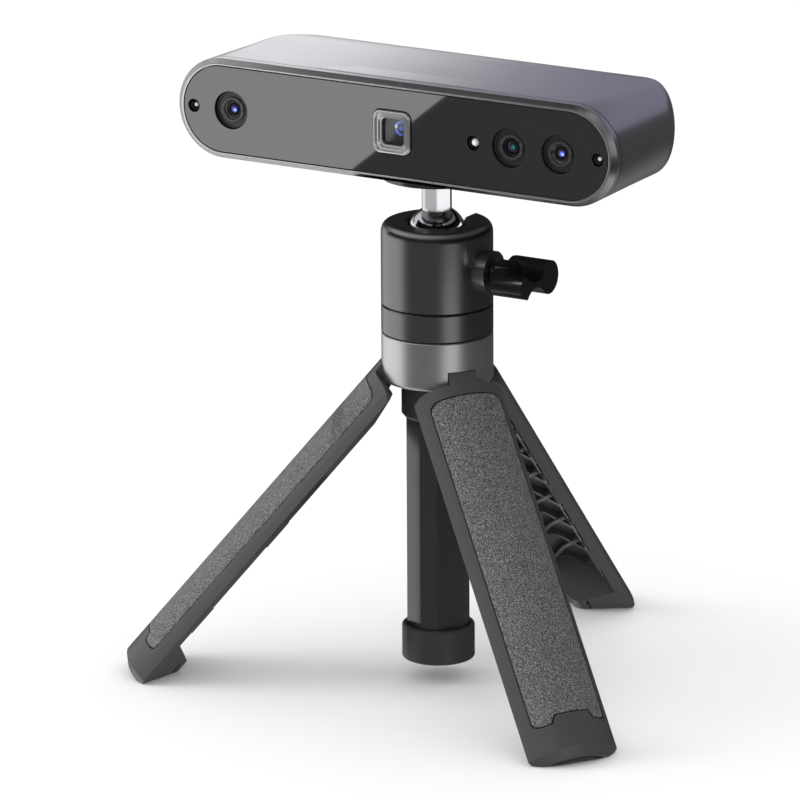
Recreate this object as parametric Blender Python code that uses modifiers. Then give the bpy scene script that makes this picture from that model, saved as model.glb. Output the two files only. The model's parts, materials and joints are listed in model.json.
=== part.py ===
"""Hand-held three-d scanner on a ball head and a folding mini tripod.

Metres, +Z up. The scanner looks along -Y. The origin is on the ground, under the middle of the footprint.
The tripod's legs fold against a telescopic mast, which carries the ball head and the scanner.
"""

import math

import bmesh
import bpy
from mathutils import Matrix, Vector

# Shared fits and small features
GAP = 0.0003
OVERRUN = 0.002
EDGE = 0.0003
BORE_GAP = 0.0002
MERGE_DISTANCE = GAP / 30

# Counts of flat sides on round shapes
FINE_SIDES = 36
SMALL_SIDES = 16
TINY_SIDES = 12
LEG_SIDES = 36
WALL_STEPS = 4
CORNER_STEPS = 3
END_STEPS = 8
REAR_STEPS = 5

# Tripod stance
TRIPOD_TURN = math.radians(-3.43)
LEG_AZIMUTHS = tuple(math.radians(angle) for angle in (90, 210, 330))
LEG_SPLAY = math.radians(40)
HINGE_RADIUS = 0.0120
HINGE_HEIGHT = 0.09927
PIN_RADIUS = 0.0010
PIN_LENGTH = 0.0140

# Collar that carries the legs
COLLAR_RADIUS = 0.0171
COLLAR_DROP = 0.00377
COLLAR_HEIGHT = 0.01504
COLLAR_BOTTOM = HINGE_HEIGHT - COLLAR_DROP
COLLAR_TOP = COLLAR_BOTTOM + COLLAR_HEIGHT
COLLAR_LIP = 0.0020
COLLAR_FILLET = 0.0012
SLOT_WIDTH = 0.0093
KNUCKLE_RADIUS = 0.0021

# Telescopic mast
TUBE_RADIUS = 0.0096
TUBE_FLAT_AZIMUTHS = tuple(math.radians(angle) for angle in (60, 150, 240, 330))
TUBE_FLAT_ANGLE = math.radians(57.3)
TUBE_BORE = 0.0076
MIDDLE_WALL = 0.0008
MIDDLE_LIFT = 0.0135
ROD_LIFT = 0.0020
ROD_WALL = 0.0012
ROD_END_WALL = 0.0030
SLEEVE_RADIUS = 0.01104
SLEEVE_LENGTH = 0.0117
SLEEVE_BOTTOM = COLLAR_BOTTOM - SLEEVE_LENGTH
SLEEVE_CHAMFER_HEIGHT = 0.0011
SLEEVE_CHAMFER = 0.0009
CAP_RADIUS = 0.0112
CAP_BOTTOM = 0.0065
CAP_HEIGHT = 0.01095
CAP_TOP = CAP_BOTTOM + CAP_HEIGHT
MIDDLE_BOTTOM = CAP_BOTTOM + MIDDLE_LIFT
ROD_BOTTOM = MIDDLE_BOTTOM + ROD_LIFT
CAP_FLOOR = 0.0025
CAP_FILLET = 0.0008

# Legs, as distances down from the hinge and out from the folded leg's axis
LEG_RADIUS = 0.0173
LEG_WALL = 0.0025
LEG_INNER_RADIUS = LEG_RADIUS - LEG_WALL
LEG_SIDE_GAP = 0.0002
LEG_HALF_SECTOR = math.radians(60)
LEG_TOP = 0.0049
SOLE_DISTANCE = (HINGE_HEIGHT - HINGE_RADIUS * math.sin(LEG_SPLAY)) / math.cos(LEG_SPLAY)
LEG_END_REACH = 0.0082814
LEG_END = SOLE_DISTANCE + LEG_END_REACH
LEG_END_CHAMFER = 0.0026
TOP_CORNER_RADIUS = 0.0040
RAIL_RISE = 0.0011
RAIL_INNER_RADIUS = LEG_INNER_RADIUS - RAIL_RISE
RAIL_HALF_ANGLE = math.radians(54)
RAIL_TAPER_TOP = 0.0066
RAIL_TAPER_END = 0.0170
TAB_OUTER_TOP = 0.0016
TAB_ROOT = 0.0080
GRIP_TOP = 0.0090
GRIP_END_MARGIN = 0.0029186
GRIP_BOTTOM = SOLE_DISTANCE - GRIP_END_MARGIN
GRIP_SIDE_MARGIN = 0.00328224
GRIP_HALF_WIDTH = LEG_RADIUS * math.sin(LEG_HALF_SECTOR) - GRIP_SIDE_MARGIN
GRIP_DEPTH = 0.0013
GRIP_TOP_CORNER = 0.0030
GRIP_BOTTOM_CORNER = 0.0020
GRIP_GROOVE = 0.0004
TONGUE_MARGIN = 0.0059
TONGUE_HALF_WIDTH = GRIP_HALF_WIDTH - TONGUE_MARGIN
TONGUE_SLANT = 0.0012
TONGUE_HEIGHT = 0.0025
TONGUE_CORNER = 0.0008
RIB_FIRST = 0.0198
RIB_COUNT = 8
RIB_END_MARGIN = 0.0015586
RIB_PITCH = (SOLE_DISTANCE - RIB_END_MARGIN - RIB_FIRST) / RIB_COUNT
RIB_RISE_SHARE = 1.5
RIB_THICKNESS = 0.0012
RIB_DEPTH = 0.0023
RIB_INNER_RADIUS = LEG_INNER_RADIUS - RIB_DEPTH
RIB_INNER_STEP = 0.0004
RIB_ROOT = 0.0010
RIB_OUTER_RADIUS = LEG_INNER_RADIUS + RIB_ROOT
RIB_STEPS = 3
STRIP_START_SHARES = (0.4811, 0.78565)
STRIP_LENGTH = 0.0106
STRIP_RISE = 0.00105
STRIP_RADIUS = RAIL_INNER_RADIUS - STRIP_RISE
WEDGE_APEX_RADIUS = 0.0017
WEDGE_SHOULDER_INSET = 0.0008
WEDGE_SHOULDER_RADIUS = LEG_INNER_RADIUS - WEDGE_SHOULDER_INSET
WEDGE_HEIGHT = 0.0097186
WEDGE_SLOPE = 0.0071
WEDGE_APEX_DROP = 0.0058
WEDGE_HIGH_SHOULDER = SOLE_DISTANCE - WEDGE_HEIGHT
WEDGE_LOW_SHOULDER = WEDGE_HIGH_SHOULDER + WEDGE_SLOPE
WEDGE_APEX_TOP = WEDGE_HIGH_SHOULDER + WEDGE_APEX_DROP
SOLE_LIFT = 0.00015
PAD_INSET = 0.0015
PAD_RADIUS = LEG_INNER_RADIUS - PAD_INSET
PAD_INNER_RADIUS = 0.0040
PAD_THICKNESS = 0.0030
PAD_END_REACH = 0.0085814
PAD_END = SOLE_DISTANCE + PAD_END_REACH
PAD_HALF_ANGLE = math.radians(54)
PAD_STEPS = 8

# Ball head
HOUSING_RADIUS = 0.0171
BASE_HEIGHT = 0.00849
BASE_BOTTOM = COLLAR_TOP + GAP
BASE_TOP = BASE_BOTTOM + BASE_HEIGHT
BASE_BORE_DEPTH = 0.0062
SPIGOT_HEIGHT = 0.0087
HOUSING_HEIGHT = 0.02547
HOUSING_TOP = BASE_TOP + HOUSING_HEIGHT
HOUSING_SHOULDER = 0.0021
HOUSING_SHOULDER_DROP = 0.0032
HOUSING_WALL = 0.0053
HOUSING_BORE = HOUSING_RADIUS - HOUSING_WALL
MOUTH_MARGIN = 0.0008
MOUTH_DEPTH = 0.0008
BALL_DEPTH = 0.0040
BALL_CENTRE = HOUSING_TOP - BALL_DEPTH
BALL_MARGIN = 0.0027
BALL_RADIUS = HOUSING_BORE - BALL_MARGIN
MOUTH_RADIUS = BALL_RADIUS + MOUTH_MARGIN
SEAT_TOP_DROP = 0.0012
CUP_TOP_DROP = 0.0015
CUP_HOLE = 0.0050
STEM_RADIUS = 0.00456
NOTCH_HALF_WIDTH = 0.0053
NOTCH_START = 0.0030
KNOB_DROP = 0.0096
KNOB_HEIGHT = BALL_CENTRE - KNOB_DROP
BOSS_RADIUS = 0.0066
BOSS_SINK = 0.0031
BOSS_REACH = 0.0029
BOSS_START = HOUSING_RADIUS - BOSS_SINK
BOSS_FACE = HOUSING_RADIUS + BOSS_REACH
SHOE_RADIUS = 0.0026
SHOE_LENGTH = 0.0028
SHOE_TRAVEL = 0.0008
SCREW_RADIUS = 0.0015
NECK_RADIUS = 0.0035
NECK_LENGTH = 0.0020
NECK_END = BOSS_FACE + NECK_LENGTH
KNOB_START = NECK_END + GAP
KNOB_LENGTH = 0.0135
KNOB_FACE = KNOB_START + KNOB_LENGTH
KNOB_HUB_RADIUS = 0.0044
KNOB_HUB_LENGTH = 0.0045
KNOB_HUB_END = KNOB_START + KNOB_HUB_LENGTH
KNOB_SCREW_DEPTH = 0.0029
KNOB_CONE_LENGTH = 0.0034
KNOB_CONE_RADIUS = 0.0060
KNOB_REACH = 0.0121
KNOB_CHAMFER = 0.0008
# Knob lobes: middle across, middle up, radius
BIG_LOBE = (0.0063, -0.0008, 0.0052)
SMALL_LOBE = (-0.0085, -0.0010, 0.0033)
# Knob scoops: middle across, middle up, radius
UPPER_SCOOP = (-0.0019, 0.0072, 0.0077)
LOWER_SCOOP = (-0.0021, -0.0084, 0.0062)

# Platform under the scanner
PLATFORM_RADIUS = 0.01707
STEM_LENGTH = 0.0181
PLATFORM_BOTTOM = BALL_CENTRE + STEM_LENGTH
PLATFORM_THICKNESS = 0.0026
THREAD_RADIUS = 0.0031
THREAD_HEIGHT = 0.0066
HEAD_PAD_RADIUS = 0.0165

# Scanner head: half sizes and depths from the mast's axis
CAMERA_SPACING_HALF = 0.0568
END_LIGHT_STEP = 0.0132
END_LIGHT_X = CAMERA_SPACING_HALF + END_LIGHT_STEP
END_MARGIN = 0.0061
FRONT_HALF_WIDTH = END_LIGHT_X + END_MARGIN
FRONT_HALF_HEIGHT = 0.0155
FRONT_FACE = -0.0261
BEZEL_DEPTH = 0.0039
SEAM = FRONT_FACE + BEZEL_DEPTH
TAPER_LENGTH = 0.0356
TAPER_END = SEAM + TAPER_LENGTH
TAPER_SIDE = 0.0033
TAPER_FALL = 0.00184
TAPER_HALF_WIDTH = FRONT_HALF_WIDTH - TAPER_SIDE
TAPER_HALF_HEIGHT = FRONT_HALF_HEIGHT - TAPER_FALL
TAPER_END_CURVE = 0.00705
REAR_LENGTH = 0.0153
REAR_FACE = TAPER_END + REAR_LENGTH
REAR_SIDE = 0.0192
REAR_FALL = 0.0020
REAR_HALF_WIDTH = TAPER_HALF_WIDTH - REAR_SIDE
REAR_HALF_HEIGHT = TAPER_HALF_HEIGHT - REAR_FALL
REAR_END_CURVE = 0.0050
CASING_WALL = 0.0020
MIDDLE_HALF_HEIGHT = FRONT_HALF_HEIGHT + TAPER_FALL * SEAM / TAPER_LENGTH
HEAD_PAD_THICKNESS = 0.0015474
HEAD_CENTRE = PLATFORM_BOTTOM + PLATFORM_THICKNESS + HEAD_PAD_THICKNESS + GAP * 2 + MIDDLE_HALF_HEIGHT

# Front bezel and front glass
GLASS_INSET_ACROSS = 0.0027
GLASS_INSET_UP = 0.00225
GLASS_HALF_WIDTH = FRONT_HALF_WIDTH - GLASS_INSET_ACROSS
GLASS_HALF_HEIGHT = FRONT_HALF_HEIGHT - GLASS_INSET_UP
GLASS_THICKNESS = 0.0012
BEZEL_RIM = 0.0007
BEZEL_CHAMFER_DEPTH = 0.0013
BEZEL_SHELF = 0.0017
BEZEL_SHELF_DEPTH = 0.0021

# Optics on the front, by distance across
CAMERA_RECESS = 0.00585
COLOUR_CAMERA_STEP = 0.0166
COLOUR_CAMERA_X = CAMERA_SPACING_HALF - COLOUR_CAMERA_STEP
COLOUR_RECESS = 0.0060
FLASH_STEP = 0.0124
FLASH_X = COLOUR_CAMERA_X - FLASH_STEP
FLASH_HOLE = 0.0023
END_LIGHT_HOLE = 0.00205
RECESS_DEPTH = 0.0014
BARREL_RING = 0.00395
BARREL_RING_HEIGHT = 0.0007
BARREL_RING_WIDTH = 0.0009
BARREL_CONE_RADIUS = 0.0024
BARREL_CONE_DEPTH = 0.0003
BARREL_BORE = 0.00195
BARREL_BORE_DEPTH = 0.0026
BARREL_NECK = 0.0040
BARREL_TAIL = 0.0030
LENS_RADIUS = 0.00165
COLOUR_LENS_RADIUS = 0.0021
LENS_THICKNESS = 0.0014
LENS_CROWN = 0.0005
LENS_CROWN_SHARE = 0.75
LIGHT_CROWN_SHARE = 0.2
LIGHT_SHOULDER_SHARE = 0.6
PROJECTOR_HALF_WIDTH = 0.0064
PROJECTOR_HALF_HEIGHT = 0.0066
PROJECTOR_CORNER = 0.0024
PROJECTOR_RAISE = 0.0008
PROJECTOR_STEP_WIDTH = 0.0009
PROJECTOR_STEP_FALL = 0.0004
PROJECTOR_DEPTH = 0.0036
WINDOW_HALF_WIDTH = 0.00345
WINDOW_HALF_HEIGHT = 0.0037
WINDOW_CORNER = 0.0012
WINDOW_DEPTH = 0.0013
WINDOW_THICKNESS = 0.0008

# Inside the scanner head
BENCH_SETBACK = 0.0022
BENCH_FRONT = SEAM + BENCH_SETBACK
BENCH_THICKNESS = 0.0030
ENGINE_HALF_WIDTH = 0.0090
ENGINE_HALF_HEIGHT = 0.0084
ENGINE_END = 0.0090
SNOUT_RADIUS = 0.0050
SNOUT_LENGTH = 0.0015
SNOUT_BORE = 0.0038
SNOUT_BORE_DEPTH = 0.0030
PROJECTOR_LENS_THICKNESS = 0.0024
BOARD_SETBACK = 0.0107
BOARD_FRONT = REAR_FACE - BOARD_SETBACK
BOARD_THICKNESS = 0.0016
BOARD_HALF_HEIGHT = 0.0085
BOARD_CORNER = 0.0015
SPREADER_THICKNESS = 0.0020
SWITCH_RADIUS = 0.0020
SWITCH_HEIGHT = 0.0030
INSERT_RADIUS = 0.0055
INSERT_HEIGHT = 0.0048
INSERT_END_WALL = 0.0006

# Back cover and what it carries
COVER_MARGIN_ACROSS = 0.0036
COVER_MARGIN_UP = 0.00296
COVER_HALF_WIDTH = REAR_HALF_WIDTH - COVER_MARGIN_ACROSS
COVER_HALF_HEIGHT = REAR_HALF_HEIGHT - COVER_MARGIN_UP
COVER_CORNER = 0.0040
COVER_THICKNESS = 0.0018
POST_INSET = 0.0035
POST_X = COVER_HALF_WIDTH - POST_INSET
POST_HALF_WIDTH = 0.0022
BOARD_SIDE_GAP = 0.0008
BOARD_HALF_WIDTH = POST_X - POST_HALF_WIDTH - BOARD_SIDE_GAP
SCREW_INSET = 0.0023
SCREW_Z = COVER_HALF_HEIGHT - SCREW_INSET
POST_BELOW_SCREW = 0.0018
POST_ABOVE_SCREW = 0.0038
POST_INNER = SCREW_Z - POST_BELOW_SCREW
POST_OUTER = SCREW_Z + POST_ABOVE_SCREW
POST_LENGTH = 0.0167
POST_FRONT = REAR_FACE - POST_LENGTH
COVER_SCREW_HEAD = 0.0016
COVER_SCREW_HEAD_HEIGHT = 0.0009
COVER_SCREW_SHANK = 0.0008
COVER_SCREW_LENGTH = 0.0060
SIDE_BUTTON_X = 0.0130
SCAN_BUTTON_RADIUS = 0.0036
SIDE_BUTTON_RADIUS = 0.0025
BUTTON_PROUD = 0.0006
BUTTON_FLANGE = 0.0009
BUTTON_FLANGE_THICKNESS = 0.0008
BUTTON_STEM = 0.0012
BUTTON_TRAVEL = 0.0006
STATUS_X = -0.0240
STATUS_RADIUS = 0.0010
USB_X = 0.0280
USB_HALF_WIDTH = 0.00447
USB_HALF_HEIGHT = 0.0016
USB_WALL = 0.0003
USB_DEPTH = 0.0062
USB_INSET = 0.0004
TONGUE_THICKNESS_HALF = 0.00035
USB_TONGUE_HALF_WIDTH = 0.0033
USB_TONGUE_LENGTH = 0.0048

# Finishes: colour, roughness, metallic
FINISHES = {
    "head grey": ((0.36, 0.36, 0.38), 0.34, 0.75),
    "bright rim": ((0.80, 0.80, 0.82), 0.18, 1.0),
    "front glass": ((0.02, 0.02, 0.022), 0.06, 0.0),
    "lens glass": ((0.02, 0.03, 0.10), 0.03, 0.0),
    "green lens": ((0.01, 0.10, 0.08), 0.03, 0.0),
    "optics black": ((0.015, 0.015, 0.016), 0.30, 0.2),
    "step grey": ((0.30, 0.30, 0.31), 0.28, 0.9),
    "light white": ((0.85, 0.85, 0.82), 0.30, 0.0),
    "black plastic": ((0.030, 0.030, 0.032), 0.42, 0.0),
    "charcoal plastic": ((0.060, 0.060, 0.064), 0.50, 0.0),
    "grip rubber": ((0.085, 0.085, 0.088), 0.80, 0.0),
    "foot rubber": ((0.050, 0.050, 0.052), 0.70, 0.0),
    "satin black metal": ((0.040, 0.041, 0.043), 0.32, 0.6),
    "gloss black": ((0.010, 0.010, 0.011), 0.10, 0.0),
    "silver metal": ((0.62, 0.62, 0.63), 0.30, 1.0),
    "chrome": ((0.85, 0.86, 0.88), 0.06, 1.0),
    "steel": ((0.55, 0.55, 0.56), 0.30, 1.0),
    "brass": ((0.78, 0.60, 0.28), 0.30, 1.0),
    "board green": ((0.03, 0.20, 0.09), 0.45, 0.0),
}

UPRIGHT = Matrix.Identity(4)
FORWARD = Matrix.Rotation(math.radians(90), 4, "X")
REARWARD = Matrix.Rotation(math.radians(-90), 4, "X")
SIDEWAYS = Matrix.Rotation(math.radians(90), 4, "Y")
ACROSS = Matrix(((0, 0, 1, 0), (1, 0, 0, 0), (0, 1, 0, 0), (0, 0, 0, 1)))


# Scene, collections and materials
def clear_scene():
    for obj in list(bpy.data.objects):
        bpy.data.objects.remove(obj, do_unlink=True)


def new_collection(name):
    made = bpy.data.collections.new(name)
    bpy.context.scene.collection.children.link(made)
    return made


def finish(name):
    if name in bpy.data.materials:
        return bpy.data.materials[name]
    colour, roughness, metallic = FINISHES[name]
    made = bpy.data.materials.new(name)
    made.use_nodes = True
    shader = made.node_tree.nodes["Principled BSDF"]
    shader.inputs["Base Color"].default_value = (*colour, 1)
    shader.inputs["Roughness"].default_value = roughness
    shader.inputs["Metallic"].default_value = metallic
    return made


def place(data, name, look, parent, matrix=UPRIGHT):
    """A part if it has a look, and a hidden cutter if it has none."""
    obj = bpy.data.objects.new(name, data)
    obj.parent = parent
    obj.matrix_local = matrix
    if look:
        PARTS.objects.link(obj)
        data.materials.clear()
        data.materials.append(finish(look))
    else:
        CUTTERS.objects.link(obj)
        obj.hide_render = True
        obj.display_type = "WIRE"
    return obj


def empty(name, parent, matrix=UPRIGHT):
    obj = bpy.data.objects.new(name, None)
    PARTS.objects.link(obj)
    obj.parent = parent
    obj.matrix_local = matrix
    return obj


def combine(target, tool, operation):
    modifier = target.modifiers.new(tool.name, "BOOLEAN")
    modifier.operation = operation
    modifier.solver = "EXACT"
    modifier.object = tool


def cut(target, tool):
    combine(target, tool, "DIFFERENCE")


def join(target, tool):
    combine(target, tool, "UNION")


def keep_common(target, tool):
    combine(target, tool, "INTERSECT")


# Outlines
def arc(centre, radius, start, end, steps):
    points = []
    for step in range(steps + 1):
        angle = math.radians(start + (end - start) * step / steps)
        points.append((centre[0] + radius * math.cos(angle), centre[1] + radius * math.sin(angle)))
    return points


def circle(centre, radius, sides):
    return arc(centre, radius, 0, 360, sides)[:-1]


def rounded(corners, steps=CORNER_STEPS):
    """A closed outline through corners, each given as across, up and rounding radius."""
    points = []
    for index, (across, up, radius) in enumerate(corners):
        here = Vector((across, up))
        before = Vector(corners[index - 1][:2]) - here
        after = Vector(corners[(index + 1) % len(corners)][:2]) - here
        if not radius:
            points.append((across, up))
            continue
        before.normalize()
        after.normalize()
        half = math.acos(max(-1, min(1, before.dot(after)))) / 2
        reach = radius / math.tan(half)
        middle = here + (before + after).normalized() * radius / math.sin(half)
        first = here + before * reach - middle
        last = here + after * reach - middle
        sweep = first.angle_signed(last)
        for step in range(steps + 1):
            spoke = first.copy()
            spoke.rotate(Matrix.Rotation(-sweep * step / steps, 2))
            points.append(tuple(middle + spoke))
    return points


def rounded_box(half_width, half_height, radius, centre=(0, 0), steps=CORNER_STEPS):
    across, up = centre
    return rounded(
        [
            (across - half_width, up - half_height, radius),
            (across + half_width, up - half_height, radius),
            (across + half_width, up + half_height, radius),
            (across - half_width, up + half_height, radius),
        ],
        steps,
    )


def stadium(half_width, half_height, steps=END_STEPS):
    straight = half_width - half_height
    return arc((straight, 0), half_height, -90, 90, steps) + arc((-straight, 0), half_height, 90, 270, steps)


# Solids
def tidy_mesh(build):
    mesh = bpy.data.meshes.new("mesh")
    bmesh.ops.remove_doubles(build, verts=build.verts, dist=GAP / 100)
    bmesh.ops.recalc_face_normals(build, faces=build.faces)
    build.to_mesh(mesh)
    build.free()
    mesh.shade_smooth()
    mesh.set_sharp_from_angle(angle=math.radians(32))
    return mesh


def plate_mesh(outline, low, high, normal="Z", holes=()):
    """A flat outline given thickness from low to high. It lies in XY, or in XZ or YZ for normal Y or X."""
    curve = bpy.data.curves.new("outline", "CURVE")
    curve.dimensions = "2D"
    curve.fill_mode = "BOTH"
    curve.extrude = (high - low) / 2
    for points in (outline, *holes):
        spline = curve.splines.new("POLY")
        spline.points.add(len(points) - 1)
        for target, (across, up) in zip(spline.points, points):
            target.co = (across, up, 0, 1)
        spline.use_cyclic_u = True
    holder = bpy.data.objects.new("outline", curve)
    CUTTERS.objects.link(holder)
    graph = bpy.context.evaluated_depsgraph_get()
    flat = bpy.data.meshes.new_from_object(holder.evaluated_get(graph))
    build = bmesh.new()
    build.from_mesh(flat)
    middle = (low + high) / 2
    turns = {
        "Z": Matrix.Translation((0, 0, middle)),
        "Y": Matrix.Translation((0, middle, 0)) @ FORWARD,
        "X": Matrix.Translation((middle, 0, 0)) @ ACROSS,
    }
    build.transform(turns[normal])
    bpy.data.objects.remove(holder)
    bpy.data.curves.remove(curve)
    bpy.data.meshes.remove(flat)
    return tidy_mesh(build)


def turned(name, profile, look, parent, matrix=UPRIGHT, sides=FINE_SIDES, ring=False):
    """A profile of radius and height, down its outer side. A ring's profile is a closed loop."""
    mesh = bpy.data.meshes.new(name)
    corners = [(radius, 0, height) for radius, height in profile]
    edges = [(index, index + 1) for index in range(len(corners) - 1)]
    if ring:
        edges.append((len(corners) - 1, 0))
    mesh.from_pydata(corners, edges, [])
    obj = place(mesh, name, look, parent, matrix)
    screw = obj.modifiers.new("turn", "SCREW")
    screw.axis = "Z"
    screw.steps = sides
    screw.render_steps = sides
    screw.use_merge_vertices = True
    screw.merge_threshold = MERGE_DISTANCE
    screw.use_smooth_shade = True
    return obj


def rod(name, radius, low, high, look, parent, matrix=UPRIGHT, sides=SMALL_SIDES):
    return turned(name, [(0, high), (radius, high), (radius, low), (0, low)], look, parent, matrix, sides)


def block_mesh(low, high):
    build = bmesh.new()
    bmesh.ops.create_cube(build, size=1)
    size = Vector(high) - Vector(low)
    middle = (Vector(high) + Vector(low)) / 2
    build.transform(Matrix.Translation(middle) @ Matrix.Diagonal((*size, 1)))
    return tidy_mesh(build)


def loft_mesh(rings, ring_body=False):
    """Joins rings of points in turn. A ring body closes on itself, and any other is capped."""
    build = bmesh.new()
    rows = [[build.verts.new(point) for point in ring] for ring in rings]
    pairs = list(zip(rows, rows[1:]))
    if ring_body:
        pairs.append((rows[-1], rows[0]))
    else:
        build.faces.new(rows[0])
        build.faces.new(rows[-1])
    for first, second in pairs:
        count = len(first)
        for index in range(count):
            beside = (index + 1) % count
            build.faces.new((first[index], first[beside], second[beside], second[index]))
    return tidy_mesh(build)


def at(across=0, depth=0, height=0, turn=UPRIGHT):
    return Matrix.Translation((across, depth, height)) @ turn


# Legs
def side_angle(radius):
    """The angle of the leg's side face at a radius: the sector's edge less half the gap between legs."""
    return LEG_HALF_SECTOR - math.asin(LEG_SIDE_GAP / radius)


def polar(radius, angle):
    return (radius * math.cos(angle), radius * math.sin(angle))


def sweep(radius, start, end, steps):
    return [polar(radius, start + (end - start) * step / steps) for step in range(steps + 1)]


def leg_section():
    """The shell across the leg, before its outside is trimmed: a wall with a thicker rail along each side."""
    outer = LEG_RADIUS + OVERRUN
    wide = side_angle(outer)
    narrow = side_angle(RAIL_INNER_RADIUS)
    return (
        sweep(outer, -wide, wide, WALL_STEPS)
        + [polar(RAIL_INNER_RADIUS, narrow), polar(RAIL_INNER_RADIUS, RAIL_HALF_ANGLE)]
        + sweep(LEG_INNER_RADIUS, RAIL_HALF_ANGLE, -RAIL_HALF_ANGLE, WALL_STEPS)
        + [polar(RAIL_INNER_RADIUS, -RAIL_HALF_ANGLE), polar(RAIL_INNER_RADIUS, -narrow)]
    )


def sector_section(inner, outer, inner_half, outer_half, steps):
    """A piece of a ring across the leg."""
    return sweep(outer, -outer_half, outer_half, steps) + sweep(inner, inner_half, -inner_half, steps)


def wedge_mesh():
    """The foot's solid wedge, with its outer edge inside the wall and a top that slopes across and inward."""
    outer = (LEG_INNER_RADIUS + LEG_RADIUS) / 2
    wide = side_angle(outer)
    apex = side_angle(WEDGE_APEX_RADIUS)
    section = sweep(outer, -wide, wide, WALL_STEPS)
    section += [polar(WEDGE_APEX_RADIUS, apex), polar(WEDGE_APEX_RADIUS, -apex)]
    shoulder_out, shoulder_across = polar(WEDGE_SHOULDER_RADIUS, LEG_HALF_SECTOR)
    slope_across = (WEDGE_HIGH_SHOULDER - WEDGE_LOW_SHOULDER) / (shoulder_across * 2)
    middle = (WEDGE_HIGH_SHOULDER + WEDGE_LOW_SHOULDER) / 2
    slope_out = (middle - WEDGE_APEX_TOP) / (shoulder_out - WEDGE_APEX_RADIUS)
    low = []
    high = []
    for out, across in section:
        low.append((out, across, -LEG_END - OVERRUN))
        high.append((out, across, -middle - slope_out * (out - shoulder_out) - slope_across * across))
    return loft_mesh([low, high])


def rib_mesh(family):
    """Flat ribs that cross the leg's hollow at a slant. The two families slant opposite ways."""
    half_across = LEG_INNER_RADIUS * math.sin(RAIL_HALF_ANGLE)
    half_rise = RIB_PITCH * RIB_RISE_SHARE / 2
    slant = family * math.atan2(half_rise, half_across)
    inner = RIB_INNER_RADIUS + (RIB_INNER_STEP if family > 0 else 0)
    half_angle = side_angle(RAIL_INNER_RADIUS) - (side_angle(RAIL_INNER_RADIUS) - RAIL_HALF_ANGLE) / 2
    stretch = math.cos(slant)
    outline = [
        (across / stretch, out)
        for out, across in sector_section(inner, RIB_OUTER_RADIUS, half_angle, half_angle, RIB_STEPS)
    ]
    build = bmesh.new()
    for index in range(RIB_COUNT):
        middle = RIB_FIRST + RIB_PITCH * (index + 0.5)
        one = plate_mesh(outline, -RIB_THICKNESS / 2, RIB_THICKNESS / 2)
        lie = Matrix(((0, 1, 0, 0), (1, 0, 0, 0), (0, 0, -1, 0), (0, 0, 0, 1)))
        one.transform(Matrix.Translation((0, 0, -middle)) @ Matrix.Rotation(slant, 4, "X") @ lie)
        build.from_mesh(one)
        bpy.data.meshes.remove(one)
    return tidy_mesh(build)


def strip_mesh():
    """Raised strips on the rails' inner edges, a little narrower than the rails."""
    build = bmesh.new()
    margin = LEG_SIDE_GAP / STRIP_RADIUS
    outside = side_angle(STRIP_RADIUS) - margin
    inside = RAIL_HALF_ANGLE + margin
    root = (LEG_INNER_RADIUS + LEG_RADIUS) / 2
    for side in (-1, 1):
        outline = [
            polar(STRIP_RADIUS, side * outside),
            polar(STRIP_RADIUS, side * inside),
            polar(root, side * inside),
            polar(root, side * outside),
        ]
        for share in STRIP_START_SHARES:
            start = SOLE_DISTANCE * share
            one = plate_mesh(outline, -start - STRIP_LENGTH, -start)
            build.from_mesh(one)
            bpy.data.meshes.remove(one)
    return tidy_mesh(build)


def tab_outline():
    """The knuckle round the pin and the web that joins it to the shell. Its top lies level when splayed."""
    knuckle = arc((HINGE_RADIUS, 0), KNUCKLE_RADIUS, 90 - math.degrees(LEG_SPLAY), 255, 8)
    root = (LEG_INNER_RADIUS + LEG_RADIUS - GRIP_DEPTH) / 2
    outer = LEG_RADIUS + OVERRUN
    web = [(root, -TAB_ROOT), (outer, -TAB_ROOT), (outer, -TAB_OUTER_TOP), (LEG_RADIUS, -TAB_OUTER_TOP)]
    return knuckle + web


def grip_outline(grow):
    """The rubber grip in the leg's own width and length, made larger by grow for its pocket."""
    half = GRIP_HALF_WIDTH + grow
    top = -GRIP_TOP + grow
    bottom = -GRIP_BOTTOM - grow
    tongue = TONGUE_HALF_WIDTH - grow
    tongue_top = bottom + TONGUE_HEIGHT
    return rounded(
        [
            (-half, bottom, GRIP_BOTTOM_CORNER),
            (-tongue - TONGUE_SLANT, bottom, TONGUE_CORNER),
            (-tongue, tongue_top, TONGUE_CORNER),
            (tongue, tongue_top, TONGUE_CORNER),
            (tongue + TONGUE_SLANT, bottom, TONGUE_CORNER),
            (half, bottom, GRIP_BOTTOM_CORNER),
            (half, top, GRIP_TOP_CORNER),
            (-half, top, GRIP_TOP_CORNER),
        ],
        3,
    )


def sole_point(lift):
    """Where the ground, raised by lift, crosses the folded leg's axis, as a distance below the hinge."""
    return SOLE_DISTANCE - lift / math.cos(LEG_SPLAY)


def sole_block(lift, thickness):
    """A slab whose upper face is the ground as the splayed leg meets it, raised by lift."""
    reach = LEG_RADIUS * 2
    slab = block_mesh((-reach, -reach, -thickness), (reach, reach, 0))
    slab.transform(Matrix.Translation((0, 0, -sole_point(lift))) @ Matrix.Rotation(LEG_SPLAY, 4, "Y"))
    return slab


def leg_envelope(end, chamfer, radius):
    top = KNUCKLE_RADIUS * 2
    return [(0, top), (radius, top), (radius, -end + chamfer), (radius - chamfer, -end), (0, -end)]


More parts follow.
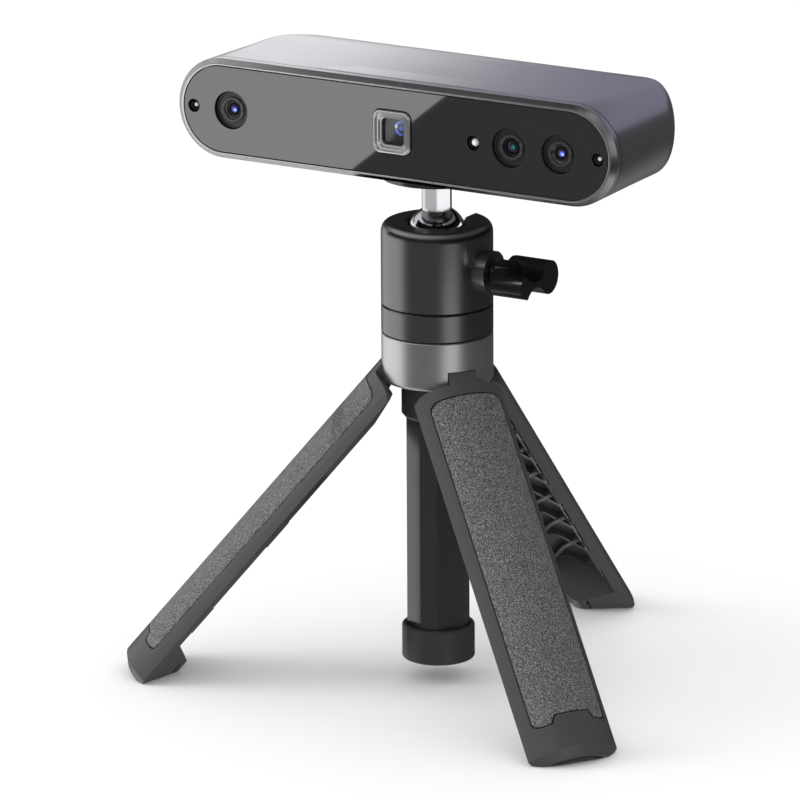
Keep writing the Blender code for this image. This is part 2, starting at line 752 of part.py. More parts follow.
def leg(number, azimuth, tripod):
    out_of_hinge = Matrix.Rotation(azimuth, 4, "Z") @ Matrix.Translation((HINGE_RADIUS, 0, HINGE_HEIGHT))
    hinge = empty(f"leg_{number}_hinge", tripod, out_of_hinge @ Matrix.Rotation(-LEG_SPLAY, 4, "Y"))
    folded = Matrix.Translation((-HINGE_RADIUS, 0, 0))
    half_slot = SLOT_WIDTH / 2

    full_length = plate_mesh(leg_section(), -LEG_END - OVERRUN, -LEG_TOP)
    shell = place(full_length, f"leg_shell_{number}", "charcoal plastic", hinge, folded)
    taper_foot = RAIL_INNER_RADIUS * math.cos(LEG_HALF_SECTOR)
    taper_head = LEG_RADIUS * math.cos(LEG_HALF_SECTOR)
    taper_slope = (taper_head - taper_foot) / (RAIL_TAPER_END - RAIL_TAPER_TOP)
    rail_taper = [
        (0, -RAIL_TAPER_END),
        (taper_foot, -RAIL_TAPER_END),
        (taper_foot + taper_slope * RAIL_TAPER_END, 0),
        (0, 0),
    ]
    cut(shell, place(plate_mesh(rail_taper, -LEG_RADIUS, LEG_RADIUS, "Y"), "rail taper", None, hinge, folded))
    join(shell, place(wedge_mesh(), "wedge", None, hinge, folded))
    knuckle_half = half_slot - GAP
    tab = plate_mesh(tab_outline(), -knuckle_half, knuckle_half, "Y")
    join(shell, place(tab, "knuckle", None, hinge, folded))
    for family in (-1, 1):
        join(shell, place(rib_mesh(family), "ribs", None, hinge, folded))
    join(shell, place(strip_mesh(), "strips", None, hinge, folded))
    envelope = leg_envelope(LEG_END, LEG_END_CHAMFER, LEG_RADIUS)
    keep_common(shell, turned("envelope", envelope, None, hinge, folded, LEG_SIDES))
    half_width = LEG_RADIUS * math.sin(side_angle(LEG_RADIUS))
    top_trim = rounded(
        [
            (-half_width - GAP, -LEG_END - OVERRUN, 0),
            (half_width + GAP, -LEG_END - OVERRUN, 0),
            (half_width + GAP, -LEG_TOP, TOP_CORNER_RADIUS),
            (knuckle_half, -LEG_TOP, 0),
            (knuckle_half, KNUCKLE_RADIUS * 2, 0),
            (-knuckle_half, KNUCKLE_RADIUS * 2, 0),
            (-knuckle_half, -LEG_TOP, 0),
            (-half_width - GAP, -LEG_TOP, TOP_CORNER_RADIUS),
        ]
    )
    trim_plate = plate_mesh(top_trim, 0, LEG_RADIUS + OVERRUN, "X")
    keep_common(shell, place(trim_plate, "top trim", None, hinge, folded))

    pocket_block = plate_mesh(grip_outline(GRIP_GROOVE), HINGE_RADIUS / 2, LEG_RADIUS + OVERRUN, "X")
    pocket = place(pocket_block, "pocket", None, hinge, folded)
    pocket_floor = LEG_RADIUS - GRIP_DEPTH
    low = -LEG_END - OVERRUN
    cut(pocket, rod("pocket floor", pocket_floor, low, OVERRUN, None, hinge, folded, LEG_SIDES))
    cut(shell, pocket)
    reach = half_slot + OVERRUN
    cut(shell, rod("pin hole", PIN_RADIUS + GAP, -reach, reach, None, hinge, FORWARD, TINY_SIDES))
    cut(shell, place(sole_block(SOLE_LIFT, LEG_RADIUS * 2), "sole trim", None, hinge, folded))

    grip_block = plate_mesh(grip_outline(0), HINGE_RADIUS / 2, LEG_RADIUS + OVERRUN, "X")
    grip = place(grip_block, f"leg_grip_{number}", "grip rubber", hinge, folded)
    cut(grip, rod("grip floor", pocket_floor + GAP, low, OVERRUN, None, hinge, folded, LEG_SIDES))
    keep_common(grip, rod("grip outside", LEG_RADIUS, low, OVERRUN, None, hinge, folded, LEG_SIDES))

    for name, grow in ((f"foot_pad_{number}", 0), ("pad recess", GAP)):
        inner_half = PAD_HALF_ANGLE + grow / PAD_INNER_RADIUS
        outer_half = PAD_HALF_ANGLE + grow / PAD_RADIUS
        inner = PAD_INNER_RADIUS - grow
        section = sector_section(inner, PAD_RADIUS + grow, inner_half, outer_half, PAD_STEPS)
        look = None if grow else "foot rubber"
        end = PAD_END + (OVERRUN if grow else 0)
        pad = place(plate_mesh(section, -end, -WEDGE_HIGH_SHOULDER), name, look, hinge, folded)
        slab = sole_block(PAD_THICKNESS + grow, PAD_THICKNESS + grow * OVERRUN / GAP)
        keep_common(pad, place(slab, "pad slab", None, hinge, folded))
        if grow:
            cut(shell, pad)

    pin_place = out_of_hinge @ FORWARD
    reach = PIN_LENGTH / 2
    rod(f"hinge_pin_{number}", PIN_RADIUS, -reach, reach, "steel", tripod, pin_place, TINY_SIDES)


# Collar and mast
def collar(tripod):
    bore = TUBE_RADIUS + GAP
    lip_hole = TUBE_BORE - BORE_GAP + GAP
    outside = COLLAR_RADIUS
    fillet_middle = (outside - COLLAR_FILLET, COLLAR_BOTTOM + COLLAR_FILLET)
    fillet = arc(fillet_middle, COLLAR_FILLET, 0, -90, CORNER_STEPS)
    profile = [
        (lip_hole, COLLAR_TOP),
        (outside - EDGE, COLLAR_TOP),
        (outside, COLLAR_TOP - EDGE),
        *fillet,
        (bore, COLLAR_BOTTOM),
        (bore, COLLAR_TOP - COLLAR_LIP),
        (lip_hole, COLLAR_TOP - COLLAR_LIP),
    ]
    body = turned("collar", profile, "silver metal", tripod, ring=True)
    slot_top = HINGE_HEIGHT + KNUCKLE_RADIUS + GAP
    slot_back = HINGE_RADIUS - KNUCKLE_RADIUS - GAP
    half = SLOT_WIDTH / 2
    for azimuth in LEG_AZIMUTHS:
        turn = Matrix.Rotation(azimuth, 4, "Z")
        slot = block_mesh((slot_back, -half, COLLAR_BOTTOM - OVERRUN), (outside + OVERRUN, half, slot_top))
        cut(body, place(slot, "leg slot", None, tripod, turn))
        across = turn @ Matrix.Translation((HINGE_RADIUS, 0, HINGE_HEIGHT)) @ FORWARD
        reach = PIN_LENGTH / 2 + GAP
        cut(body, rod("pin bore", PIN_RADIUS + GAP, -reach, reach, None, tripod, across, TINY_SIDES))


def mast(tripod, root):
    sleeve_bore = TUBE_RADIUS + GAP
    chamfer_top = SLEEVE_BOTTOM + SLEEVE_CHAMFER_HEIGHT
    sleeve = [
        (sleeve_bore, COLLAR_BOTTOM - GAP),
        (SLEEVE_RADIUS, COLLAR_BOTTOM - GAP),
        (SLEEVE_RADIUS, chamfer_top),
        (SLEEVE_RADIUS - SLEEVE_CHAMFER, SLEEVE_BOTTOM),
        (sleeve_bore, SLEEVE_BOTTOM),
    ]
    turned("mast_sleeve", sleeve, "black plastic", tripod, ring=True)

    flats = []
    for azimuth in TUBE_FLAT_AZIMUTHS:
        for angle in (-TUBE_FLAT_ANGLE / 2, TUBE_FLAT_ANGLE / 2):
            flats.append(polar(TUBE_RADIUS, azimuth + angle))
    tube_top = COLLAR_TOP - COLLAR_LIP - GAP
    tube_bottom = CAP_BOTTOM + CAP_FLOOR + GAP
    bore = circle((0, 0), TUBE_BORE, FINE_SIDES)
    place(plate_mesh(flats, tube_bottom, tube_top, holes=[bore]), "mast_outer_tube", "gloss black", tripod)

    cap_bore = TUBE_RADIUS + GAP
    cap = [
        (0, CAP_BOTTOM + CAP_FLOOR),
        (cap_bore, CAP_BOTTOM + CAP_FLOOR),
        (cap_bore, CAP_TOP),
        (CAP_RADIUS - CAP_FILLET, CAP_TOP),
        *arc((CAP_RADIUS - CAP_FILLET, CAP_TOP - CAP_FILLET), CAP_FILLET, 60, 0, 2),
        *arc((CAP_RADIUS - CAP_FILLET, CAP_BOTTOM + CAP_FILLET), CAP_FILLET, 0, -90, 3),
        (0, CAP_BOTTOM),
    ]
    turned("mast_end_cap", cap, "black plastic", tripod)

    middle = TUBE_BORE - BORE_GAP
    middle_bore = middle - MIDDLE_WALL
    tube = [
        (middle_bore, COLLAR_TOP),
        (middle, COLLAR_TOP),
        (middle, MIDDLE_BOTTOM),
        (middle_bore, MIDDLE_BOTTOM),
    ]
    turned("mast_middle_tube", tube, "steel", root, ring=True)

    inner = middle_bore - BORE_GAP
    top = BASE_BOTTOM + BASE_BORE_DEPTH - GAP
    inner_rod = [
        (0, top),
        (inner, top),
        (inner, ROD_BOTTOM),
        (inner - ROD_WALL, ROD_BOTTOM),
        (inner - ROD_WALL, top - ROD_END_WALL),
        (0, top - ROD_END_WALL),
    ]
    turned("mast_inner_rod", inner_rod, "steel", root)


# Ball head
def base_ring(root):
    bore = TUBE_BORE - BORE_GAP - MIDDLE_WALL - BORE_GAP + GAP
    spigot = HOUSING_BORE - GAP
    profile = [
        (0, BASE_TOP + SPIGOT_HEIGHT),
        (spigot, BASE_TOP + SPIGOT_HEIGHT),
        (spigot, BASE_TOP),
        (HOUSING_RADIUS - EDGE, BASE_TOP),
        (HOUSING_RADIUS, BASE_TOP - EDGE),
        (HOUSING_RADIUS, BASE_BOTTOM + EDGE),
        (HOUSING_RADIUS - EDGE, BASE_BOTTOM),
        (bore, BASE_BOTTOM),
        (bore, BASE_BOTTOM + BASE_BORE_DEPTH),
        (0, BASE_BOTTOM + BASE_BORE_DEPTH),
    ]
    turned("base_ring", profile, "satin black metal", root)


def seat_arc(low, high, steps):
    """The ball's seat, from a height below or above its middle to another, as a profile."""
    radius = BALL_RADIUS + GAP
    first = math.asin(low / radius)
    last = math.asin(high / radius)
    points = []
    for step in range(steps + 1):
        angle = first + (last - first) * step / steps
        points.append((radius * math.cos(angle), BALL_CENTRE + radius * math.sin(angle)))
    return points


def housing(root):
    bottom = BASE_TOP + GAP
    lip = HOUSING_TOP - MOUTH_DEPTH
    shoulder = []
    for across, up in arc((0, 0), 1, 68, 0, 3):
        radius = HOUSING_RADIUS - HOUSING_SHOULDER + HOUSING_SHOULDER * across
        shoulder.append((radius, HOUSING_TOP - HOUSING_SHOULDER_DROP + HOUSING_SHOULDER_DROP * up))
    profile = [
        (MOUTH_RADIUS, HOUSING_TOP),
        (HOUSING_RADIUS - HOUSING_SHOULDER, HOUSING_TOP),
        *shoulder,
        (HOUSING_RADIUS, bottom + EDGE),
        (HOUSING_RADIUS - EDGE, bottom),
        (HOUSING_BORE, bottom),
        (HOUSING_BORE, BALL_CENTRE - SEAT_TOP_DROP),
        *seat_arc(-SEAT_TOP_DROP, lip - BALL_CENTRE, 3),
    ]
    body = turned("ball_head_housing", profile, "satin black metal", root, ring=True)
    at_knob = at(height=KNOB_HEIGHT, turn=SIDEWAYS)
    join(body, rod("boss", BOSS_RADIUS, BOSS_START, BOSS_FACE, None, root, at_knob, FINE_SIDES))
    notch_end = HOUSING_RADIUS + OVERRUN
    low = (-NOTCH_HALF_WIDTH, NOTCH_START, BALL_CENTRE)
    high = (NOTCH_HALF_WIDTH, notch_end, HOUSING_TOP + OVERRUN)
    cut(body, place(block_mesh(low, high), "notch", None, root))
    along_back = at(height=BALL_CENTRE, turn=REARWARD)
    cut(body, rod("notch floor", NOTCH_HALF_WIDTH, NOTCH_START, notch_end, None, root, along_back))
    shoe_end = HOUSING_BORE + SHOE_LENGTH + SHOE_TRAVEL + GAP
    cut(body, rod("shoe bore", SHOE_RADIUS + GAP, HOUSING_BORE - OVERRUN, shoe_end, None, root, at_knob))
    cut(body, rod("screw bore", SCREW_RADIUS + GAP, HOUSING_BORE, BOSS_FACE + OVERRUN, None, root, at_knob))

    cup_outside = HOUSING_BORE - GAP
    cup_hole_drop = math.sqrt((BALL_RADIUS + GAP) ** 2 - CUP_HOLE**2)
    cup_bottom = BASE_TOP + SPIGOT_HEIGHT + GAP
    cup_top = BALL_CENTRE - CUP_TOP_DROP
    cup = [
        (cup_outside, cup_top),
        (cup_outside, cup_bottom),
        (CUP_HOLE, cup_bottom),
        *seat_arc(-cup_hole_drop, -CUP_TOP_DROP, 4),
    ]
    turned("ball_cup", cup, "black plastic", root, ring=True)

    shoe_start = HOUSING_BORE
    rod("clamp_shoe", SHOE_RADIUS, shoe_start, shoe_start + SHOE_LENGTH, "brass", root, at_knob)
    screw_start = shoe_start + SHOE_LENGTH + GAP
    screw_end = KNOB_START + KNOB_SCREW_DEPTH
    screw = [
        (0, screw_end),
        (SCREW_RADIUS, screw_end),
        (SCREW_RADIUS, NECK_END),
        (NECK_RADIUS, NECK_END),
        (NECK_RADIUS, BOSS_FACE + GAP),
        (SCREW_RADIUS, BOSS_FACE + GAP),
        (SCREW_RADIUS, screw_start),
        (0, screw_start),
    ]
    turned("clamp_screw", screw, "satin black metal", root, at_knob, SMALL_SIDES)


def knob_outline():
    """The wing knob seen end on: two round lobes joined by a waist between two scoops."""
    lobe_x, lobe_z, lobe_r = BIG_LOBE
    small_x, small_z, small_r = SMALL_LOBE
    right = arc((lobe_x, lobe_z), lobe_r, -112, 96, 9)
    left = arc((small_x, small_z), small_r, 72, 285, 8)
    scoop_x, scoop_z, scoop_r = UPPER_SCOOP
    upper = arc((scoop_x, scoop_z), scoop_r, -30, -138, 6)
    lower_x, lower_z, lower_r = LOWER_SCOOP
    lower = arc((lower_x, lower_z), lower_r, 146, 35, 6)
    return right + upper + left + lower


def knob(root):
    at_knob = Matrix.Translation((0, 0, KNOB_HEIGHT))
    wing = plate_mesh(knob_outline(), KNOB_START, KNOB_FACE, "X")
    body = place(wing, "clamp_knob", "gloss black", root, at_knob)
    cone_end = KNOB_START + KNOB_CONE_LENGTH
    envelope = [
        (0, KNOB_FACE),
        (KNOB_REACH - KNOB_CHAMFER, KNOB_FACE),
        (KNOB_REACH, KNOB_FACE - KNOB_CHAMFER),
        (KNOB_REACH, cone_end),
        (KNOB_CONE_RADIUS, KNOB_START),
        (0, KNOB_START),
    ]
    along = at_knob @ SIDEWAYS
    keep_common(body, turned("knob envelope", envelope, None, root, along, SMALL_SIDES * 2))
    join(body, rod("knob hub", KNOB_HUB_RADIUS, KNOB_START, KNOB_HUB_END, None, root, along))
    depth = KNOB_START + KNOB_SCREW_DEPTH + GAP
    cut(body, rod("knob bore", SCREW_RADIUS + GAP, KNOB_START - OVERRUN, depth, None, root, along))


def ball_stud(root):
    stem_top = PLATFORM_BOTTOM - GAP
    thread_top = PLATFORM_BOTTOM + PLATFORM_THICKNESS + THREAD_HEIGHT
    first = math.degrees(math.acos(STEM_RADIUS / BALL_RADIUS))
    profile = [
        (0, thread_top),
        (THREAD_RADIUS, thread_top),
        (THREAD_RADIUS, stem_top),
        (STEM_RADIUS, stem_top),
        *arc((0, BALL_CENTRE), BALL_RADIUS, first, -81, 11),
        (0, BALL_CENTRE - BALL_RADIUS),
    ]
    turned("ball_stud", profile, "chrome", root)


def platform(root):
    hole = THREAD_RADIUS + GAP
    low = PLATFORM_BOTTOM
    high = PLATFORM_BOTTOM + PLATFORM_THICKNESS
    profile = [
        (hole, high),
        (PLATFORM_RADIUS - EDGE, high),
        (PLATFORM_RADIUS, high - EDGE),
        (PLATFORM_RADIUS, low + EDGE),
        (PLATFORM_RADIUS - EDGE, low),
        (hole, low),
    ]
    turned("platform_disc", profile, "satin black metal", root, ring=True)


# Scanner head
def casing_size(depth):
    """Half-width, half-height and end curve of the casing's outside at a depth."""
    if depth <= TAPER_END:
        share = (depth - SEAM) / (TAPER_END - SEAM)
        width = FRONT_HALF_WIDTH + (TAPER_HALF_WIDTH - FRONT_HALF_WIDTH) * share
        height = FRONT_HALF_HEIGHT + (TAPER_HALF_HEIGHT - FRONT_HALF_HEIGHT) * share
        curve = FRONT_HALF_HEIGHT + (TAPER_END_CURVE - FRONT_HALF_HEIGHT) * share
        return width, height, curve
    along = (depth - TAPER_END) / (REAR_FACE - TAPER_END)
    left = math.sqrt(max(0, 1 - along * along))
    width = REAR_HALF_WIDTH + (TAPER_HALF_WIDTH - REAR_HALF_WIDTH) * left
    height = REAR_HALF_HEIGHT + (TAPER_HALF_HEIGHT - REAR_HALF_HEIGHT) * left
    curve = REAR_END_CURVE + (TAPER_END_CURVE - REAR_END_CURVE) * left
    return width, height, curve


def casing_ring(depth, inset, shown_depth):
    """The casing's outline at a depth, drawn in by inset, at another depth if need be."""
    width, height, curve = casing_size(depth)
    width -= inset
    height -= inset
    curve -= inset
    points = []
    for side in (1, -1):
        for step in range(END_STEPS + 1):
            angle = math.radians(-90 + 180 * step / END_STEPS) * side
            across = side * (width - curve + curve * math.cos(angle))
            points.append((across, shown_depth, height * math.sin(angle)))
    return points


def casing_rings(inset, start, rear):
    """Rings from the front to the rear face: a straight taper, then the round rear edge."""
    rings = [casing_ring(SEAM, inset, start), casing_ring(TAPER_END, inset, TAPER_END)]
    round_depth = rear - TAPER_END
    for step in range(1, REAR_STEPS + 1):
        along = math.sin(math.radians(90) * step / REAR_STEPS)
        true_depth = TAPER_END + (REAR_FACE - TAPER_END) * along
        rings.append(casing_ring(true_depth, inset, TAPER_END + round_depth * along))
    return rings


def cover_features():
    """What passes through the back cover: place across and hole outline."""
    holes = [
        circle((0, 0), SCAN_BUTTON_RADIUS + GAP, SMALL_SIDES),
        circle((-SIDE_BUTTON_X, 0), SIDE_BUTTON_RADIUS + GAP, SMALL_SIDES),
        circle((SIDE_BUTTON_X, 0), SIDE_BUTTON_RADIUS + GAP, SMALL_SIDES),
        circle((STATUS_X, 0), STATUS_RADIUS + GAP, TINY_SIDES),
        rounded_box(USB_HALF_WIDTH + GAP, USB_HALF_HEIGHT + GAP, USB_HALF_HEIGHT, (USB_X, 0)),
    ]
    for across in (-POST_X, POST_X):
        for up in (-SCREW_Z, SCREW_Z):
            holes.append(circle((across, up), COVER_SCREW_SHANK + GAP, TINY_SIDES))
    return holes


def casing(head):
    body = place(loft_mesh(casing_rings(0, SEAM, REAR_FACE)), "head_casing", "head grey", head)
    hollow = casing_rings(CASING_WALL, SEAM - OVERRUN, REAR_FACE - CASING_WALL)
    cut(body, place(loft_mesh(hollow), "casing hollow", None, head))
    cover_back = REAR_FACE - COVER_THICKNESS
    for across in (-POST_X, POST_X):
        for side in (-1, 1):
            first, second = sorted((side * POST_INNER, side * POST_OUTER))
            low = (across - POST_HALF_WIDTH, POST_FRONT, first)
            high = (across + POST_HALF_WIDTH, cover_back, second)
            join(body, place(block_mesh(low, high), "cover post", None, head))
    opening = rounded_box(COVER_HALF_WIDTH + GAP, COVER_HALF_HEIGHT + GAP, COVER_CORNER + GAP)
    recess = plate_mesh(opening, cover_back - GAP, REAR_FACE + OVERRUN, "Y")
    cut(body, place(recess, "cover opening", None, head))
    for across in (-POST_X, POST_X):
        for up in (-SCREW_Z, SCREW_Z):
            shank = at(across, cover_back, up, REARWARD)
            radius = COVER_SCREW_SHANK + GAP
            cut(body, rod("post bore", radius, -COVER_SCREW_LENGTH, OVERRUN, None, head, shank, TINY_SIDES))
    low = -FRONT_HALF_HEIGHT - OVERRUN
    high = -TAPER_HALF_HEIGHT + CASING_WALL * 2
    cut(body, rod("insert bore", INSERT_RADIUS + GAP, low, high, None, head))


def back_cover(head):
    low = REAR_FACE - COVER_THICKNESS
    outline = rounded_box(COVER_HALF_WIDTH, COVER_HALF_HEIGHT, COVER_CORNER)
    cover = place(
        plate_mesh(outline, low, REAR_FACE, "Y", cover_features()), "back_cover", "black plastic", head
    )
    number = 0
    head_base = REAR_FACE - COVER_SCREW_HEAD_HEIGHT
    for across in (-POST_X, POST_X):
        for up in (-SCREW_Z, SCREW_Z):
            number += 1
            spot = at(across, 0, up, REARWARD)
            radius = COVER_SCREW_HEAD + GAP
            top = REAR_FACE + OVERRUN
            cut(cover, rod("screw recess", radius, head_base - GAP, top, None, head, spot, TINY_SIDES))
            profile = [
                (0, REAR_FACE),
                (COVER_SCREW_HEAD, REAR_FACE),
                (COVER_SCREW_HEAD, head_base),
                (COVER_SCREW_SHANK, head_base),
                (COVER_SCREW_SHANK, low - COVER_SCREW_LENGTH + GAP),
                (0, low - COVER_SCREW_LENGTH + GAP),
            ]
            turned(f"cover_screw_{number}", profile, "steel", head, spot, TINY_SIDES)


def bezel(head):
    outer = (FRONT_HALF_WIDTH, FRONT_HALF_HEIGHT)
    glass = GLASS_HALF_WIDTH + GAP
    rim = glass + BEZEL_RIM
    back = SEAM - GAP
    shelf = glass - BEZEL_SHELF
    shelf_face = FRONT_FACE + GLASS_THICKNESS + GAP
    edge_depth = FRONT_FACE + BEZEL_CHAMFER_DEPTH
    steps = [
        (glass, FRONT_FACE),
        (rim, FRONT_FACE),
        (outer[0], edge_depth),
        (outer[0], back),
        (shelf, back),
        (shelf, shelf_face),
        (glass, shelf_face),
    ]
    glass_height = GLASS_HALF_HEIGHT + GAP
    rings = []
    for half_width, depth in steps:
        share = (half_width - glass) / (outer[0] - glass)
        half_height = glass_height + (outer[1] - glass_height) * share
        rings.append([(across, depth, up) for across, up in stadium(half_width, half_height)])
    place(loft_mesh(rings, ring_body=True), "front_bezel", "bright rim", head)


def front_glass(head):
    holes = [
        circle((-CAMERA_SPACING_HALF, 0), CAMERA_RECESS, SMALL_SIDES),
        circle((CAMERA_SPACING_HALF, 0), CAMERA_RECESS, SMALL_SIDES),
        circle((COLOUR_CAMERA_X, 0), COLOUR_RECESS, SMALL_SIDES),
        circle((FLASH_X, 0), FLASH_HOLE, TINY_SIDES),
        circle((-END_LIGHT_X, 0), END_LIGHT_HOLE, TINY_SIDES),
        circle((END_LIGHT_X, 0), END_LIGHT_HOLE, TINY_SIDES),
        rounded_box(PROJECTOR_HALF_WIDTH + GAP, PROJECTOR_HALF_HEIGHT + GAP, PROJECTOR_CORNER + GAP),
    ]
    outline = stadium(GLASS_HALF_WIDTH, GLASS_HALF_HEIGHT)
    panel = plate_mesh(outline, FRONT_FACE, FRONT_FACE + GLASS_THICKNESS, "Y", holes)
    place(panel, "front_glass", "front glass", head)


def bench(head):
    width, height, curve = casing_size(BENCH_FRONT + BENCH_THICKNESS)
    half_width = width - CASING_WALL - GAP
    half_height = height - CASING_WALL - GAP
    holes = [circle((across, 0), BARREL_NECK + GAP, SMALL_SIDES) for across in camera_places()]
    holes.append(circle((0, 0), SNOUT_RADIUS + GAP, SMALL_SIDES))
    outline = stadium(half_width, half_height)
    panel = plate_mesh(outline, BENCH_FRONT, BENCH_FRONT + BENCH_THICKNESS, "Y", holes)
    place(panel, "optical_bench", "silver metal", head)


def camera_places():
    return (-CAMERA_SPACING_HALF, COLOUR_CAMERA_X, CAMERA_SPACING_HALF)


def camera(head, name, across, recess, lens_radius, lens_look):
    """A lens barrel seated on the bench, and its lens. Heights run forward from the mast's axis."""
    spot = at(across, turn=FORWARD)
    floor = -FRONT_FACE - RECESS_DEPTH
    bore = lens_radius + GAP
    seat = floor - BARREL_BORE_DEPTH
    flange_back = -BENCH_FRONT + GAP
    outside = recess - GAP
    tail = -BENCH_FRONT - BENCH_THICKNESS - BARREL_TAIL
    profile = [
        (0, seat),
        (bore, seat),
        (bore, floor - BARREL_CONE_DEPTH),
        (bore + BARREL_CONE_DEPTH, floor),
        (BARREL_RING - BARREL_RING_WIDTH, floor),
        (BARREL_RING - BARREL_RING_WIDTH, floor + BARREL_RING_HEIGHT),
        (BARREL_RING, floor + BARREL_RING_HEIGHT),
        (BARREL_RING, floor),
        (outside, floor),
        (outside, flange_back),
        (BARREL_NECK, flange_back),
        (BARREL_NECK, tail),
        (0, tail),
    ]
    turned(f"{name}_barrel", profile, "optics black", head, spot, SMALL_SIDES)
    lens = [
        (0, seat + GAP + LENS_THICKNESS + LENS_CROWN),
        (lens_radius / 2, seat + GAP + LENS_THICKNESS + LENS_CROWN * LENS_CROWN_SHARE),
        (lens_radius, seat + GAP + LENS_THICKNESS),
        (lens_radius, seat + GAP),
        (0, seat + GAP),
    ]
    turned(f"{name}_lens", lens, lens_look, head, spot, TINY_SIDES)


def projector(head):
    steps = [(0, PROJECTOR_RAISE)]
    for number in range(1, 3):
        fall = PROJECTOR_RAISE - PROJECTOR_STEP_FALL * number
        steps.append((PROJECTOR_STEP_WIDTH * number, fall + PROJECTOR_STEP_FALL))
        steps.append((PROJECTOR_STEP_WIDTH * number, fall))
    opening = PROJECTOR_HALF_WIDTH - WINDOW_HALF_WIDTH - GAP
    steps.append((opening, PROJECTOR_RAISE - PROJECTOR_STEP_FALL * 2))
    steps.append((opening, -PROJECTOR_DEPTH))
    steps.append((0, -PROJECTOR_DEPTH))
    rings = []
    for inset, forward in steps:
        corner = max(WINDOW_CORNER, PROJECTOR_CORNER - inset)
        outline = rounded_box(PROJECTOR_HALF_WIDTH - inset, PROJECTOR_HALF_HEIGHT - inset, corner)
        rings.append([(across, FRONT_FACE - forward, up) for across, up in outline])
    place(loft_mesh(rings, ring_body=True), "projector_bezel", "step grey", head)

    window = rounded_box(WINDOW_HALF_WIDTH, WINDOW_HALF_HEIGHT, WINDOW_CORNER)
    near = FRONT_FACE + WINDOW_DEPTH
    place(plate_mesh(window, near, near + WINDOW_THICKNESS, "Y"), "projector_window", "lens glass", head)

    bench_back = BENCH_FRONT + BENCH_THICKNESS
    low = (-ENGINE_HALF_WIDTH, bench_back + GAP, -ENGINE_HALF_HEIGHT)
    high = (ENGINE_HALF_WIDTH, ENGINE_END, ENGINE_HALF_HEIGHT)
    engine = place(block_mesh(low, high), "projector_engine", "optics black", head)
    forward = at(turn=FORWARD)
    snout_face = -BENCH_FRONT + SNOUT_LENGTH
    join(engine, rod("snout", SNOUT_RADIUS, -bench_back - OVERRUN, snout_face, None, head, forward))
    bore_floor = snout_face - SNOUT_BORE_DEPTH
    cut(engine, rod("snout bore", SNOUT_BORE, bore_floor, snout_face + OVERRUN, None, head, forward))
    lens_front = bore_floor + PROJECTOR_LENS_THICKNESS
    rod("projector_lens", SNOUT_BORE - GAP, bore_floor + GAP, lens_front, "lens glass", head, forward)


def small_light(head, name, across, hole):
    """A light with a domed end, from the bench to just behind the glass's face."""
    radius = hole - GAP
    front = -FRONT_FACE - GLASS_THICKNESS / 2
    profile = [
        (0, front),
        (radius * LIGHT_SHOULDER_SHARE, front - radius * LIGHT_CROWN_SHARE),
        (radius, front - radius * LIGHT_SHOULDER_SHARE),
        (radius, -BENCH_FRONT + GAP),
        (0, -BENCH_FRONT + GAP),
    ]
    turned(name, profile, "light white", head, at(across, turn=FORWARD), TINY_SIDES)


def boards(head):
    back = BOARD_FRONT + BOARD_THICKNESS
    outline = rounded_box(BOARD_HALF_WIDTH, BOARD_HALF_HEIGHT, BOARD_CORNER)
    board = place(plate_mesh(outline, BOARD_FRONT, back, "Y"), "main_board", "board green", head)
    for across in (-SIDE_BUTTON_X, 0, SIDE_BUTTON_X):
        spot = at(across, turn=REARWARD)
        top = back + SWITCH_HEIGHT
        join(board, rod("switch", SWITCH_RADIUS, back - GAP, top, None, head, spot, TINY_SIDES))
    spreader = plate_mesh(outline, BOARD_FRONT - GAP - SPREADER_THICKNESS, BOARD_FRONT - GAP, "Y")
    place(spreader, "heat_spreader", "silver metal", head)


def button(head, name, across, radius):
    """A cap held behind the cover by its flange, with a stem that stops above its switch."""
    cover_inside = REAR_FACE - COVER_THICKNESS
    flange = cover_inside - GAP
    top = REAR_FACE + BUTTON_PROUD
    stem_end = BOARD_FRONT + BOARD_THICKNESS + SWITCH_HEIGHT + BUTTON_TRAVEL + GAP
    profile = [
        (0, top),
        (radius - EDGE, top),
        (radius, top - EDGE),
        (radius, flange),
        (radius + BUTTON_FLANGE, flange),
        (radius + BUTTON_FLANGE, flange - BUTTON_FLANGE_THICKNESS),
        (BUTTON_STEM, flange - BUTTON_FLANGE_THICKNESS),
        (BUTTON_STEM, stem_end),
        (0, stem_end),
    ]
    turned(name, profile, "black plastic", head, at(across, turn=REARWARD), SMALL_SIDES)


def rear_fittings(head):
    button(head, "scan_button", 0, SCAN_BUTTON_RADIUS)
    button(head, "minus_button", -SIDE_BUTTON_X, SIDE_BUTTON_RADIUS)
    button(head, "plus_button", SIDE_BUTTON_X, SIDE_BUTTON_RADIUS)
    board_back = BOARD_FRONT + BOARD_THICKNESS + GAP
    at_light = at(STATUS_X, turn=REARWARD)
    rod("status_light", STATUS_RADIUS, board_back, REAR_FACE, "light white", head, at_light, TINY_SIDES)
    rim = REAR_FACE - USB_INSET
    shell = rounded_box(USB_HALF_WIDTH, USB_HALF_HEIGHT, USB_HALF_HEIGHT - EDGE / 3, (USB_X, 0))
    socket = place(plate_mesh(shell, board_back, rim, "Y"), "usb_socket", "steel", head)
    inner = USB_HALF_HEIGHT - USB_WALL
    hollow = rounded_box(USB_HALF_WIDTH - USB_WALL, inner, inner - EDGE / 3, (USB_X, 0))
    mouth = place(plate_mesh(hollow, rim - USB_DEPTH, rim + OVERRUN, "Y"), "usb mouth", None, head)
    tongue_start = rim - USB_DEPTH
    low = (USB_X - USB_TONGUE_HALF_WIDTH, tongue_start - OVERRUN, -TONGUE_THICKNESS_HALF)
    high = (USB_X + USB_TONGUE_HALF_WIDTH, tongue_start + USB_TONGUE_LENGTH, TONGUE_THICKNESS_HALF)
    cut(mouth, place(block_mesh(low, high), "usb tongue", None, head))
    cut(socket, mouth)


